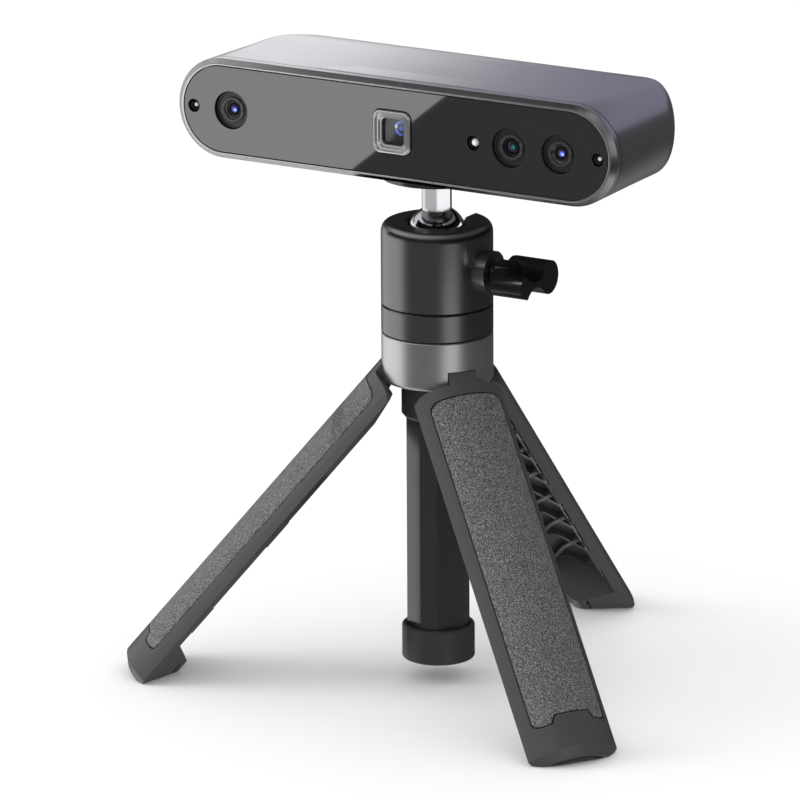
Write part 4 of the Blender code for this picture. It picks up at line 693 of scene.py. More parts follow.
def next_ring(obj, before, here):
    """Extrudes the selected ring and brings each end to its new width, height, curve and depth."""
    bpy.ops.mesh.extrude_region_move(TRANSFORM_OT_translate={"value": (0, here[3] - before[3], 0)})
    mesh, ring = selected_points(obj)
    order = [point.index for point in ring]
    sides = [point.co.x > 0 for point in ring]
    for side in (1, -1):
        mesh = bmesh.from_edit_mesh(obj.data)
        mesh.verts.ensure_lookup_table()
        for point in mesh.verts:
            point.select = False
        mesh.select_flush(False)
        for index, right in zip(order, sides):
            mesh.verts[index].select = right == (side > 0)
        mesh.select_flush(True)
        middle = (side * (before[0] - before[2]), here[3], 0)
        size = (here[2] / before[2], 1, here[1] / before[1])
        bpy.ops.transform.resize(value=size, center_override=middle)
        slide = side * ((here[0] - here[2]) - (before[0] - before[2]))
        bpy.ops.transform.translate(value=(slide, 0, 0))
    mesh = bmesh.from_edit_mesh(obj.data)
    mesh.verts.ensure_lookup_table()
    for index in order:
        mesh.verts[index].select = True
    mesh.select_flush(True)


def loft(name, rings, closed=False, fill_first=False, fill_last=False):
    """A skin through rings of width, height, curve and depth. A closed one joins its two ends."""
    made = chain(name, end_ring(*rings[0]), True)
    if fill_first:
        bpy.ops.mesh.edge_face_add()
    for before, here in zip(rings, rings[1:]):
        next_ring(made, before, here)
    if fill_last:
        bpy.ops.mesh.edge_face_add()
    if closed:
        next_ring(made, rings[-1], rings[0])
    close_up()
    return made


# %% The case itself
case_rings = [
    (FRONT_WIDTH, FRONT_HEIGHT, FRONT_HEIGHT, SEAM),
    (TAPER_WIDTH, TAPER_HEIGHT, TAPER_CURVE, TAPER_END),
]
for step in range(1, REAR_STEPS + 1):
    turn = math.radians(90) * step / REAR_STEPS
    left = math.cos(turn)
    case_rings.append(
        (
            REAR_WIDTH + (TAPER_WIDTH - REAR_WIDTH) * left,
            REAR_HEIGHT + (TAPER_HEIGHT - REAR_HEIGHT) * left,
            REAR_CURVE + (TAPER_CURVE - REAR_CURVE) * left,
            TAPER_END + (REAR_FACE - TAPER_END) * math.sin(turn),
        )
    )
case = loft("scanner_case", case_rings, fill_last=True)
apply_modifier(case, "SOLIDIFY", thickness=WALL, offset=-1)
set_down(case, on_head())

COVER_WIDTH = 0.0500
COVER_HEIGHT = 0.0087
COVER_CORNER = 0.0040
COVER_THICKNESS = 0.0018
cover_hole = extruded(
    "cover_hole",
    rounded_box(COVER_WIDTH + GAP, COVER_HEIGHT + GAP, COVER_CORNER + GAP),
    COVER_THICKNESS * 3,
    on_head(0, REAR_FACE - COVER_THICKNESS * 2, 0, REARWARD),
)
carve(case, cover_hole)
INSERT_RADIUS = 0.0055
insert_hole = spun(
    "insert_hole",
    [(0, -0.018), (INSERT_RADIUS + GAP, -0.018), (INSERT_RADIUS + GAP, -0.009), (0, -0.009)],
    on_head(),
)
carve(case, insert_hole)
soften(case, 0.00022, 2, 50)
dress(smooth(case, 40), case_metal, "scanner_head", "head_casing")
print("case faces:", len(case.data.polygons))

# %% [markdown]
# ## The bright rim and the glass
#
# The rim is a closed ring: a narrow flat front edge, then a chamfer that falls back to the case. The glass
# is a flat stadium with a hole for each lens and light and a rounded square for the projector.

# %% Rim
GLASS_WIDTH = 0.0734
GLASS_HEIGHT = 0.01325
GLASS_THICKNESS = 0.0012
RIM_FLAT = 0.0007
CHAMFER_DEPTH = 0.0013
SHELF = 0.0017

opening = GLASS_WIDTH + GAP
opening_height = GLASS_HEIGHT + GAP


def rim_ring(width, depth):
    share = (width - opening) / (FRONT_WIDTH - opening)
    height = opening_height + (FRONT_HEIGHT - opening_height) * share
    return (width, height, height, depth)


rim = loft(
    "front_rim",
    [
        rim_ring(opening, FRONT_FACE + GLASS_THICKNESS + GAP),
        rim_ring(opening, FRONT_FACE),
        rim_ring(opening + RIM_FLAT, FRONT_FACE),
        rim_ring(FRONT_WIDTH, FRONT_FACE + CHAMFER_DEPTH),
        rim_ring(FRONT_WIDTH, SEAM - GAP),
        rim_ring(opening - SHELF, SEAM - GAP),
        rim_ring(opening - SHELF, FRONT_FACE + GLASS_THICKNESS + GAP),
    ],
    closed=True,
)
set_down(rim, on_head())
soften(rim, 0.00010, 2, 20)
dress(smooth(rim, 30), chamfer_metal, "scanner_head", "front_bezel")
rim.data.materials.append(rim_metal)
rim.data.materials.append(case_metal)


def on_flat_front(face, middle):
    return face.normal.y < -0.9 and middle.y < FRONT_FACE + GAP


def on_outer_side(face, middle):
    straight = FRONT_WIDTH - FRONT_HEIGHT
    nearest = max(-straight, min(straight, middle.x))
    out = math.hypot(middle.x - nearest, middle.z)
    return abs(face.normal.y) < 0.3 and out > opening_height + RIM_FLAT


for slot_number, belongs in ((1, on_flat_front), (2, on_outer_side)):
    pick(rim)
    bpy.ops.object.mode_set(mode="EDIT")
    bpy.ops.mesh.select_all(action="DESELECT")
    edit = bmesh.from_edit_mesh(rim.data)
    for face in edit.faces:
        face.select = belongs(face, face.calc_center_median() - HEAD)
    bmesh.update_edit_mesh(rim.data)
    rim.active_material_index = slot_number
    bpy.ops.object.material_slot_assign()
    bpy.ops.object.mode_set(mode="OBJECT")
for slot_number, material in enumerate(rim.data.materials):
    print(material.name, "faces:", sum(face.material_index == slot_number for face in rim.data.polygons))

# %% Glass with its holes
CAMERA_X = 0.0568
CAMERA_RECESS = 0.00585
COLOUR_X = 0.0402
COLOUR_RECESS = 0.0060
FLASH_X = 0.0278
FLASH_HOLE = 0.0023
END_LIGHT_X = 0.0700
END_LIGHT_HOLE = 0.00205
PROJECTOR_WIDTH = 0.0064
PROJECTOR_HEIGHT = 0.0066
PROJECTOR_CORNER = 0.0024

glass = loft(
    "front_panel",
    [
        (GLASS_WIDTH, GLASS_HEIGHT, GLASS_HEIGHT, FRONT_FACE),
        (GLASS_WIDTH, GLASS_HEIGHT, GLASS_HEIGHT, FRONT_FACE + GLASS_THICKNESS),
    ],
    fill_first=True,
    fill_last=True,
)
set_down(glass, on_head())
glass_holes = [
    (-CAMERA_X, CAMERA_RECESS), (CAMERA_X, CAMERA_RECESS), (COLOUR_X, COLOUR_RECESS),
    (FLASH_X, FLASH_HOLE), (-END_LIGHT_X, END_LIGHT_HOLE), (END_LIGHT_X, END_LIGHT_HOLE),
]
DRILL_START = 0.023
DRILL_LENGTH = 0.005


def plug(name, radius, start, end, matrix, steps=64):
    """A plain round solid, for cutting or joining."""
    return spun(name, [(0, start), (radius, start), (radius, end), (0, end)], matrix, steps=steps)


for across, radius in glass_holes:
    at_hole = on_head(across, turn=FORWARD)
    carve(glass, plug("drill", radius, DRILL_START, DRILL_START + DRILL_LENGTH, at_hole))
square = rounded_box(PROJECTOR_WIDTH + GAP, PROJECTOR_HEIGHT + GAP, PROJECTOR_CORNER + GAP)
carve(glass, extruded("drill", square, DRILL_LENGTH, on_head(turn=FORWARD), DRILL_START))
soften(glass, 0.00012, 2, 50)
dress(smooth(glass, 30), front_dark, "scanner_head", "front_glass")

# %% [markdown]
# ## Lens barrels
#
# Each camera looks out of a shallow round recess. A black barrel carries a raised retaining ring with two
# spanner slots, then a stepped cone that keeps stray light out, and the lens at the bottom, with a painted
# reflection and a painted glint that glow.

# %% Barrels, retaining rings and lenses
RECESS_DEPTH = 0.0014
RING_RADIUS = 0.00395
RING_HEIGHT = 0.0007
RING_WIDTH = 0.0009
CONE_DEPTH = 0.0003
BORE_DEPTH = 0.0026
BARREL_NECK = 0.0040
BARREL_TAIL = 0.0030
BENCH_FRONT = -0.0200
BENCH_THICKNESS = 0.0030
LENS_THICKNESS = 0.0014
LENS_CROWN = 0.0005


def lens_set(side, across, recess, lens_radius, coat):
    floor = -FRONT_FACE - RECESS_DEPTH
    bore = lens_radius + GAP
    seat = floor - BORE_DEPTH
    outside = recess - GAP
    flange = -BENCH_FRONT + GAP
    tail = -BENCH_FRONT - BENCH_THICKNESS - BARREL_TAIL
    spot = on_head(across, turn=FORWARD)
    inner = RING_RADIUS - RING_WIDTH
    barrel = spun(
        f"{side}_barrel",
        [
            (0, seat), (bore, seat), (bore, floor - CONE_DEPTH * 3),
            (bore + CONE_DEPTH * 1.5, floor - CONE_DEPTH * 3),
            (bore + CONE_DEPTH * 1.5, floor - CONE_DEPTH * 1.5), (inner - 0.0001, floor),
            (RING_RADIUS, floor), (outside - 0.0004, floor), (outside - 0.0004, floor + 0.0004),
            (outside, floor + 0.0004), (outside, flange), (BARREL_NECK, flange),
            (BARREL_NECK, tail), (0, tail),
        ],
        spot,
    )
    dress(smooth(barrel, 30), optics_black, "scanner_head", f"{side}_camera_barrel")
    top = floor + RING_HEIGHT
    ring = spun(
        f"{side}_retaining_ring",
        [
            (inner, floor), (inner, top - 0.00015), (inner + 0.00015, top),
            (RING_RADIUS - 0.0002, top), (RING_RADIUS, top - 0.0002), (RING_RADIUS, floor),
        ],
        spot,
        closed=True,
    )
    for turn in (35, 215):
        slot_turn = Matrix.Rotation(math.radians(turn), 4, "Z")
        middle = spot @ slot_turn @ Matrix.Translation((inner + RING_WIDTH / 2, 0, top))
        notch = extruded("notch", rounded_box(0.0006, 0.00042, 0.0002, 3), 0.0008, middle, -0.0004)
        carve(ring, notch)
    dress(smooth(ring, 30), ring_black, "scanner_head", slot="optics_black")
    crown = seat + GAP + LENS_THICKNESS
    dome = [(lens_radius * math.sin(angle), crown + LENS_CROWN * math.cos(angle)) for angle in
            (math.radians(90) * step / 8 for step in range(9))]
    lens = spun(f"{side}_lens", dome + [(lens_radius, seat + GAP), (0, seat + GAP)], spot, steps=48)
    # coat is the lens's material, with its painted reflection and painted glint, which glow.
    dress(smooth(lens, 40), coat, "scanner_head", f"{side}_camera_lens")


lens_set("left", -CAMERA_X, CAMERA_RECESS, 0.00165, left_lens_painted_reflection)
lens_set("right", CAMERA_X, CAMERA_RECESS, 0.00165, right_lens_painted_reflection)
lens_set("colour", COLOUR_X, COLOUR_RECESS, 0.0021, colour_lens_painted_reflection)


# %% Small lights: a bright dome in a black socket
SOCKET_DEPTH = 0.0011


def small_light(name, across, hole, dome_radius):
    outside = hole - GAP
    spot = on_head(across, turn=FORWARD)
    front = -FRONT_FACE - GLASS_THICKNESS / 2
    base = -BENCH_FRONT + GAP
    lip = 0.00025
    socket = spun(
        f"{name}_socket",
        [
            (0, front - SOCKET_DEPTH), (dome_radius + lip, front - SOCKET_DEPTH),
            (outside - lip, front), (outside, front - lip), (outside, base), (0, base),
        ],
        spot,
        steps=48,
    )
    dress(smooth(socket, 30), deep_black, "scanner_head", name)
    low = front - SOCKET_DEPTH + 0.00002
    rise = [math.radians(90) * step / 8 for step in range(9)]
    profile = [(dome_radius * math.sin(angle), low + dome_radius * math.cos(angle)) for angle in rise]
    dome = spun(f"{name}_dome", profile + [(0, low)], spot, steps=32)
    dress(smooth(dome, 60), light_cap, "scanner_head", slot="light_white")


small_light("flash_light", FLASH_X, FLASH_HOLE, 0.00125)
small_light("left_end_light", -END_LIGHT_X, END_LIGHT_HOLE, 0.0007)
small_light("right_end_light", END_LIGHT_X, END_LIGHT_HOLE, 0.0007)

# %% [markdown]
# ## The projector's frame
#
# Three rounded ridges step down to a dark window. The outline is a rounded square, and each ridge is two or
# three rings of it, resized inwards and moved in depth.

# %% Ridged frame
PROJECTOR_DEPTH = 0.0036
WINDOW_HALF = 0.00345
WINDOW_UP = 0.0037
RIDGES = [
    (0.0000, -0.0002), (0.0000, 0.0004), (0.0002, 0.0007), (0.0005, 0.0008), (0.00075, 0.0006),
    (0.0009, 0.0002), (0.0011, 0.0002), (0.0013, 0.0004), (0.0016, 0.0004), (0.0018, 0.0001),
    (0.0020, -0.0002), (0.0022, -0.0001), (0.0025, -0.0001), (0.00265, -0.0005),
    (0.00265, -PROJECTOR_DEPTH), (0.0000, -PROJECTOR_DEPTH),
]


def square_ring(inset):
    return (PROJECTOR_WIDTH - inset, PROJECTOR_HEIGHT - inset)


outline = rounded_box(PROJECTOR_WIDTH, PROJECTOR_HEIGHT, PROJECTOR_CORNER)
stepped = chain("projector_frame", [(across, up, RIDGES[0][1]) for across, up in outline], True)
for before, here in zip(RIDGES, RIDGES[1:] + RIDGES[:1]):
    old = square_ring(before[0])
    new = square_ring(here[0])
    bpy.ops.mesh.extrude_region_move(TRANSFORM_OT_translate={"value": (0, 0, here[1] - before[1])})
    bpy.ops.transform.resize(value=(new[0] / old[0], new[1] / old[1], 1), center_override=(0, 0, here[1]))
close_up()
set_down(stepped, on_head(0, FRONT_FACE, 0, FORWARD))
dress(smooth(stepped, 50), step_metal, "scanner_head", "projector_bezel")

# %% Window and projector lens
WINDOW_DEPTH = 0.0013
WINDOW_THICKNESS = 0.0008
window = extruded(
    "projector_pane",
    rounded_box(WINDOW_HALF, WINDOW_UP, 0.0012),
    WINDOW_THICKNESS,
    on_head(0, FRONT_FACE + WINDOW_DEPTH + WINDOW_THICKNESS, 0, FORWARD),
)
soften(window, 0.0001, 2, 50)
dress(smooth(window), window_glass, "scanner_head", "projector_window")

# %% Projector lens: a domed glass behind the window
SNOUT_BORE = 0.0038
SNOUT_FLOOR = 0.0185
PROJECTOR_LENS_THICKNESS = 0.0024
LENS_SIDE = 0.0012
lens_front = SNOUT_FLOOR + PROJECTOR_LENS_THICKNESS
edge_radius = SNOUT_BORE - GAP
crown = [
    (edge_radius * math.sin(angle), lens_front - LENS_SIDE * (1 - math.cos(angle)))
    for angle in (math.radians(90) * step / 10 for step in range(11))
]
projector_glass = spun(
    "projector_dome",
    crown + [(edge_radius, SNOUT_FLOOR + GAP), (0, SNOUT_FLOOR + GAP)],
    on_head(turn=FORWARD),
    steps=64,
)
# The projector lens's blue ring and glint are a painted reflection and a painted glint, which glow.
dress(smooth(projector_glass, 50), projector_painted_reflection, "scanner_head", "projector_lens")
projector_glass.visible_glossy = False

# %% [markdown]
# ## The bare plate on the case's top
#
# A thin trapezoid follows the slope of the case's top. It is a separate plate, so it is filled and extruded
# from its four corners, and a slightly smoother metal shows its edge.

# %% Plate
PLATE_FRONT = (-0.0293, 0.0293, -0.0215)
PLATE_BACK = (-0.0208, 0.0208, -0.0114)
PLATE_RAISE = 0.00006
slope = (TAPER_HEIGHT - FRONT_HEIGHT) / (TAPER_END - SEAM)


def case_top(depth):
    return FRONT_HEIGHT + slope * (depth - SEAM)


corners = [
    (PLATE_FRONT[0], PLATE_FRONT[2]), (PLATE_FRONT[1], PLATE_FRONT[2]),
    (PLATE_BACK[1], PLATE_BACK[2]), (PLATE_BACK[0], PLATE_BACK[2]),
]
plate = chain("bare_plate", [(across, deep, case_top(deep) + PLATE_RAISE) for across, deep in corners], True)
bpy.ops.mesh.edge_face_add()
bpy.ops.mesh.extrude_region_move(TRANSFORM_OT_translate={"value": (0, 0, -PLATE_RAISE * 4)})
close_up()
set_down(plate, on_head())
dress(smooth(plate), plate_metal, "scanner_head", slot="head_grey")

# %% [markdown]
# ## Ball head and platform
#
# These are lathe parts: the platform disc, the chromed ball with its stem, the housing with a side boss and
# a notch that the stem can drop into, and the base ring.

# %% Platform, ball and stem
PLATFORM_RADIUS = 0.01707
PLATFORM_BOTTOM = 0.1589
PLATFORM_THICKNESS = 0.0026
THREAD_RADIUS = 0.0031
THREAD_TOP = 0.1681
EDGE = 0.0003

platform = spun(
    "platform",
    [
        (THREAD_RADIUS + GAP, PLATFORM_BOTTOM + PLATFORM_THICKNESS),
        (PLATFORM_RADIUS - EDGE, PLATFORM_BOTTOM + PLATFORM_THICKNESS),
        (PLATFORM_RADIUS, PLATFORM_BOTTOM + PLATFORM_THICKNESS - EDGE),
        (PLATFORM_RADIUS, PLATFORM_BOTTOM + EDGE), (PLATFORM_RADIUS - EDGE, PLATFORM_BOTTOM),
        (THREAD_RADIUS + GAP, PLATFORM_BOTTOM),
    ],
    UPRIGHT,
    closed=True,
)
dress(smooth(platform, 30), black_metal, "ball_body", "platform_disc")

BALL_CENTRE = 0.1408
BALL_RADIUS = 0.0091
STEM_RADIUS = 0.00456
stem_start = math.degrees(math.asin(math.sqrt(BALL_RADIUS**2 - STEM_RADIUS**2) / BALL_RADIUS))
thread = []
THREAD_PITCH = 0.00127
height = THREAD_TOP
while height > PLATFORM_BOTTOM + PLATFORM_THICKNESS:
    thread.append((THREAD_RADIUS - 0.0004, height))
    thread.append((THREAD_RADIUS, height - THREAD_PITCH / 2))
    height -= THREAD_PITCH
stem_top = PLATFORM_BOTTOM - GAP
ball = spun(
    "ball_and_stem",
    [(0, THREAD_TOP)]
    + thread
    + [
        (THREAD_RADIUS, stem_top), (STEM_RADIUS - EDGE, stem_top), (STEM_RADIUS, stem_top - EDGE),
        *arc((0, BALL_CENTRE), BALL_RADIUS, stem_start, -90, 40),
    ],
    UPRIGHT,
)
dress(smooth(ball, 30), chrome, "ball_body", "ball_stud")

# %% Housing with its boss and notch
HOUSING_RADIUS = 0.0171
HOUSING_BOTTOM = 0.11963
HOUSING_TOP = 0.1448
SHOULDER = 0.0021
SHOULDER_DROP = 0.0032
HOUSING_BORE = 0.0118
MOUTH_RADIUS = 0.0099
MOUTH_DEPTH = 0.0008
SEAT_DROP = 0.0012
NOTCH_HALF = 0.0053
KNOB_HEIGHT = 0.1312
BOSS_RADIUS = 0.0066
BOSS_START = 0.0140
BOSS_FACE = 0.0200
SHOE_RADIUS = 0.0026
SCREW_RADIUS = 0.0015

shoulder = [
    (HOUSING_RADIUS - SHOULDER + SHOULDER * across, HOUSING_TOP - SHOULDER_DROP + SHOULDER_DROP * up)
    for across, up in arc((0, 0), 1, 90, 0, 12)
]
seat = []
for step in range(9):
    rise = -SEAT_DROP + (HOUSING_TOP - MOUTH_DEPTH - BALL_CENTRE + SEAT_DROP) * step / 8
    seat.append((math.sqrt((BALL_RADIUS + GAP) ** 2 - rise**2), BALL_CENTRE + rise))
housing = spun(
    "ball_housing",
    [
        (MOUTH_RADIUS, HOUSING_TOP),
        *shoulder,
        (HOUSING_RADIUS, HOUSING_BOTTOM + EDGE), (HOUSING_RADIUS - EDGE, HOUSING_BOTTOM),
        (HOUSING_BORE, HOUSING_BOTTOM), (HOUSING_BORE, BALL_CENTRE - SEAT_DROP),
        *seat,
    ],
    UPRIGHT,
    closed=True,
)
at_knob = UPRIGHT @ Matrix.Translation((0, 0, KNOB_HEIGHT)) @ SIDEWAYS
carve(housing, plug("boss", BOSS_RADIUS, BOSS_START, BOSS_FACE, at_knob), "UNION")
notch_outline = arc((0, 0), NOTCH_HALF, 180, 360, 20) + [(NOTCH_HALF, 0.008), (-NOTCH_HALF, 0.008)]
notch = extruded(
    "notch", notch_outline, 0.020, UPRIGHT @ Matrix.Translation((0, 0.023, BALL_CENTRE)) @ FORWARD
)
carve(housing, notch)
BORE_START = 0.009
SHOE_BORE_END = 0.0157
carve(housing, plug("screw_bore", SCREW_RADIUS + GAP, BORE_START, BOSS_FACE + 0.002, at_knob, 32))
carve(housing, plug("shoe_bore", SHOE_RADIUS + GAP, BORE_START, SHOE_BORE_END, at_knob, 32))
soften(housing, 0.00025, 3, 42)
dress(smooth(housing, 35), black_metal, "ball_head_base", "ball_head_housing")

# %% Base ring
BASE_BOTTOM = 0.11084
BASE_TOP = 0.11933
SPIGOT_TOP = 0.12803
ROD_BORE = 0.0067
ROD_BORE_TOP = 0.11704
base = spun(
    "base_collar",
    [
        (0, SPIGOT_TOP), (HOUSING_BORE - GAP, SPIGOT_TOP), (HOUSING_BORE - GAP, BASE_TOP),
        (HOUSING_RADIUS - EDGE, BASE_TOP), (HOUSING_RADIUS, BASE_TOP - EDGE),
        (HOUSING_RADIUS, BASE_BOTTOM + EDGE), (HOUSING_RADIUS - EDGE, BASE_BOTTOM),
        (ROD_BORE, BASE_BOTTOM), (ROD_BORE, ROD_BORE_TOP), (0, ROD_BORE_TOP),
    ],
    UPRIGHT,
)
dress(smooth(base, 30), black_metal, "ball_head_base", "base_ring")

# %% [markdown]
# ## Wing knob
#
# The knob is a moulded wing: two round lobes joined by a waist between two scoops. Its end view is extruded
# along the screw, cut to a cone towards the hub, and given soft edges, which catch the light. A short
# threaded neck shows between it and the boss.

# %% Knob and its threaded neck
KNOB_START = 0.0223
KNOB_LENGTH = 0.0135
KNOB_CONE_LENGTH = 0.0034
KNOB_CONE_RADIUS = 0.0060
KNOB_REACH = 0.0121
KNOB_HUB_RADIUS = 0.0044
KNOB_HUB_END = 0.0268
KNOB_BORE_DEPTH = 0.0032
END_ON = Matrix(((0, 0, 1, 0), (1, 0, 0, 0), (0, 1, 0, 0), (0, 0, 0, 1)))
lobes = (
    arc((0.0063, -0.0008), 0.0052, -112, 96, 22)
    + arc((-0.0019, 0.0072), 0.0077, -30, -138, 14)
    + arc((-0.0085, -0.0010), 0.0033, 72, 285, 18)
    + arc((-0.0021, -0.0084), 0.0062, 146, 35, 14)
)
knob_turned = Matrix.Translation(MAST + Vector((0, 0, KNOB_HEIGHT))) @ END_ON
knob = extruded("wing_knob", lobes, KNOB_LENGTH, knob_turned, KNOB_START)
envelope = spun(
    "envelope",
    [
        (0, KNOB_START + KNOB_LENGTH), (KNOB_REACH, KNOB_START + KNOB_LENGTH),
        (KNOB_REACH, KNOB_START + KNOB_CONE_LENGTH), (KNOB_CONE_RADIUS, KNOB_START),
        (0, KNOB_START),
    ],
    at_knob,
    steps=64,
)
carve(knob, envelope, "INTERSECT")
soften(knob, 0.0007, 4, 30)
carve(knob, plug("hub", KNOB_HUB_RADIUS, KNOB_START, KNOB_HUB_END, at_knob, 48), "UNION")
carve(knob, plug("bore", SCREW_RADIUS + GAP, KNOB_START - 0.001, KNOB_START + KNOB_BORE_DEPTH, at_knob, 32))
dress(smooth(knob, 32), gloss_black, "clamp_knob_body", "clamp_knob")

neck_profile = [(0, 0.0252), (SCREW_RADIUS, 0.0252), (SCREW_RADIUS, 0.0220)]
NECK_PITCH = 0.00042
spot = 0.0220
while spot > BOSS_FACE + GAP + NECK_PITCH:
    neck_profile.append((0.0035, spot))
    neck_profile.append((0.0031, spot - NECK_PITCH / 2))
    spot -= NECK_PITCH
neck_profile += [
    (0.0035, BOSS_FACE + GAP), (SCREW_RADIUS, BOSS_FACE + GAP), (SCREW_RADIUS, 0.0149), (0, 0.0149)
]
neck = spun("threaded_neck", neck_profile, at_knob, steps=48)
dress(smooth(neck, 20), black_metal, "clamp_knob_body", "clamp_screw")

# %% [markdown]
# ## Collar and mast
#
# The collar is turned from aluminium with three slots for the legs' knuckles. Below it a black sleeve meets
# the faceted tube, which ends in a plain cap.

# %% Collar
COLLAR_RADIUS = 0.0171
COLLAR_BOTTOM = 0.0955
COLLAR_TOP = 0.11054
COLLAR_FILLET = 0.0012
TUBE_RADIUS = 0.0096
TRIPOD_TURN = math.radians(-3.43)
HINGE_RADIUS = 0.0120
HINGE_HEIGHT = 0.09927
SLOT_HALF = 0.00465
SLOT_TOP = 0.10167
SLOT_BACK = 0.0096
LIP_HOLE = 0.0077
PIN_RADIUS = 0.0010
PIN_HALF = 0.0070

collar = spun(
    "leg_collar",
    [
        (LIP_HOLE, COLLAR_TOP), (COLLAR_RADIUS - EDGE, COLLAR_TOP),
        (COLLAR_RADIUS, COLLAR_TOP - EDGE),
        *arc((COLLAR_RADIUS - COLLAR_FILLET, COLLAR_BOTTOM + COLLAR_FILLET), COLLAR_FILLET, 0, -90, 8),
        (TUBE_RADIUS + GAP, COLLAR_BOTTOM), (TUBE_RADIUS + GAP, COLLAR_TOP - 0.0020),
        (LIP_HOLE, COLLAR_TOP - 0.0020),
    ],
    UPRIGHT,
    closed=True,
)
leg_turns = [math.radians(angle) + TRIPOD_TURN for angle in (90, 210, 330)]
for turn in leg_turns:
    outline = [(SLOT_BACK, -SLOT_HALF), (0.020, -SLOT_HALF), (0.020, SLOT_HALF), (SLOT_BACK, SLOT_HALF)]
    slot_tool = extruded("slot", outline, SLOT_TOP - 0.090, UPRIGHT @ Matrix.Rotation(turn, 4, "Z"), 0.090)
    carve(collar, slot_tool)
    at_pin = (
        UPRIGHT
        @ Matrix.Rotation(turn, 4, "Z")
        @ Matrix.Translation((HINGE_RADIUS, 0, HINGE_HEIGHT))
        @ FORWARD
    )
    carve(collar, plug("pin_bore", PIN_RADIUS + GAP, -PIN_HALF - GAP, PIN_HALF + GAP, at_pin, 24))
soften(collar, 0.00018, 2, 42)
dress(smooth(collar, 35), collar_metal, "tripod_base", "collar")

# %% Sleeve, tube and end cap
SLEEVE_RADIUS = 0.01104
SLEEVE_BOTTOM = 0.0838
sleeve = spun(
    "sleeve",
    [
        (TUBE_RADIUS + GAP, COLLAR_BOTTOM - GAP), (SLEEVE_RADIUS, COLLAR_BOTTOM - GAP),
        (SLEEVE_RADIUS, SLEEVE_BOTTOM + 0.0011), (SLEEVE_RADIUS - 0.0009, SLEEVE_BOTTOM),
        (TUBE_RADIUS + GAP, SLEEVE_BOTTOM),
    ],
    UPRIGHT,
    closed=True,
)
dress(smooth(sleeve, 30), cap_plastic, "tripod_base", "mast_sleeve")

tube = refined("mast_outer_tube", "faceted_tube", 0.00025, 2, 25, 20)
dress(tube, tube_black, "tripod_base", "mast_outer_tube")

CAP_RADIUS = 0.0112
CAP_BOTTOM = 0.0065
CAP_TOP = 0.01745
CAP_FLOOR = 0.0025
CAP_FILLET = 0.0008
cap = spun(
    "end_cap",
    [
        (0, CAP_BOTTOM + CAP_FLOOR), (TUBE_RADIUS + GAP, CAP_BOTTOM + CAP_FLOOR),
        (TUBE_RADIUS + GAP, CAP_TOP),
        *arc((CAP_RADIUS - CAP_FILLET, CAP_TOP - CAP_FILLET), CAP_FILLET, 90, 0, 6),
        *arc((CAP_RADIUS - CAP_FILLET, CAP_BOTTOM + CAP_FILLET), CAP_FILLET, 0, -90, 6),
        (0, CAP_BOTTOM),
    ],
    UPRIGHT,
)
dress(smooth(cap, 35), cap_plastic, "tripod_base", "mast_end_cap")

dress(refined("mast_middle_tube", "middle_tube"), mast_steel, "middle_tube", "mast_middle_tube")
dress(refined("mast_inner_rod", "inner_rod"), mast_steel, "ball_head_base", "mast_inner_rod")

# %% [markdown]
# ## Legs
#
# A leg's shell has its lattice of ribs in the solid already. A merged copy gets a small round on its edges,
# and the grip and the foot pad are handled the same way.

# %% Legs
for number in (1, 2, 3):
    body = f"leg_{number}"
    shell = refined(f"leg_shell_{number}", f"leg_body_{number}", 0.00012, 2, 40, 34)
    dress(shell, leg_plastic, body, f"leg_shell_{number}")
    grip = refined(f"leg_grip_{number}", f"grip_{number}", 0.0002, 2, 40, 34)
    dress(grip, grip_rubber, body, f"leg_grip_{number}")
    pad = refined(f"foot_pad_{number}", f"foot_{number}", 0.00015, 2, 40, 34)
    dress(pad, foot_rubber, body, f"foot_pad_{number}")

# %% [markdown]
# ## The back of the head
#
# The photograph doesn't show the back. Its cover, buttons, socket and light are guesses at what such a
# scanner has. Their marks are a plain plus and minus.

# %% Cover and screws
cover = refined("back_cover", "rear_cover", 0.0002, 2, 40, 30)
dress(cover, cover_plastic, "scanner_head", "back_cover")
POST_X = 0.0465
SCREW_Z = 0.0064
HEAD_RADIUS = 0.0016
HEAD_THICKNESS = 0.0009
number = 0
for across in (-POST_X, POST_X):
    for up in (-SCREW_Z, SCREW_Z):
        number += 1
        spot = on_head(across, 0, up, REARWARD)
        screw = spun(
            "cross_screw_" + str(number),
            [
                (0, REAR_FACE), (HEAD_RADIUS - 0.00025, REAR_FACE),
                (HEAD_RADIUS, REAR_FACE - 0.00025), (HEAD_RADIUS, REAR_FACE - HEAD_THICKNESS),
                (0.0008, REAR_FACE - HEAD_THICKNESS),
                (0.0008, REAR_FACE - COVER_THICKNESS - 0.0057),
                (0, REAR_FACE - COVER_THICKNESS - 0.0057),
            ],
            spot,
            steps=32,
        )
        for turn in (0, 90):
            bar = Matrix.Rotation(math.radians(turn + 20 * number), 4, "Z")
            slit = rounded_box(0.00095, 0.00018, 0.0001, 2)
            carve(screw, extruded("cross", slit, 0.0008, spot @ bar, REAR_FACE - 0.0005))
        dress(smooth(screw, 30), pin_steel, "scanner_head", f"cover_screw_{number}")

# %% Buttons with their marks
BUTTON_PROUD = 0.0006
BUTTON_SINK = 0.00025


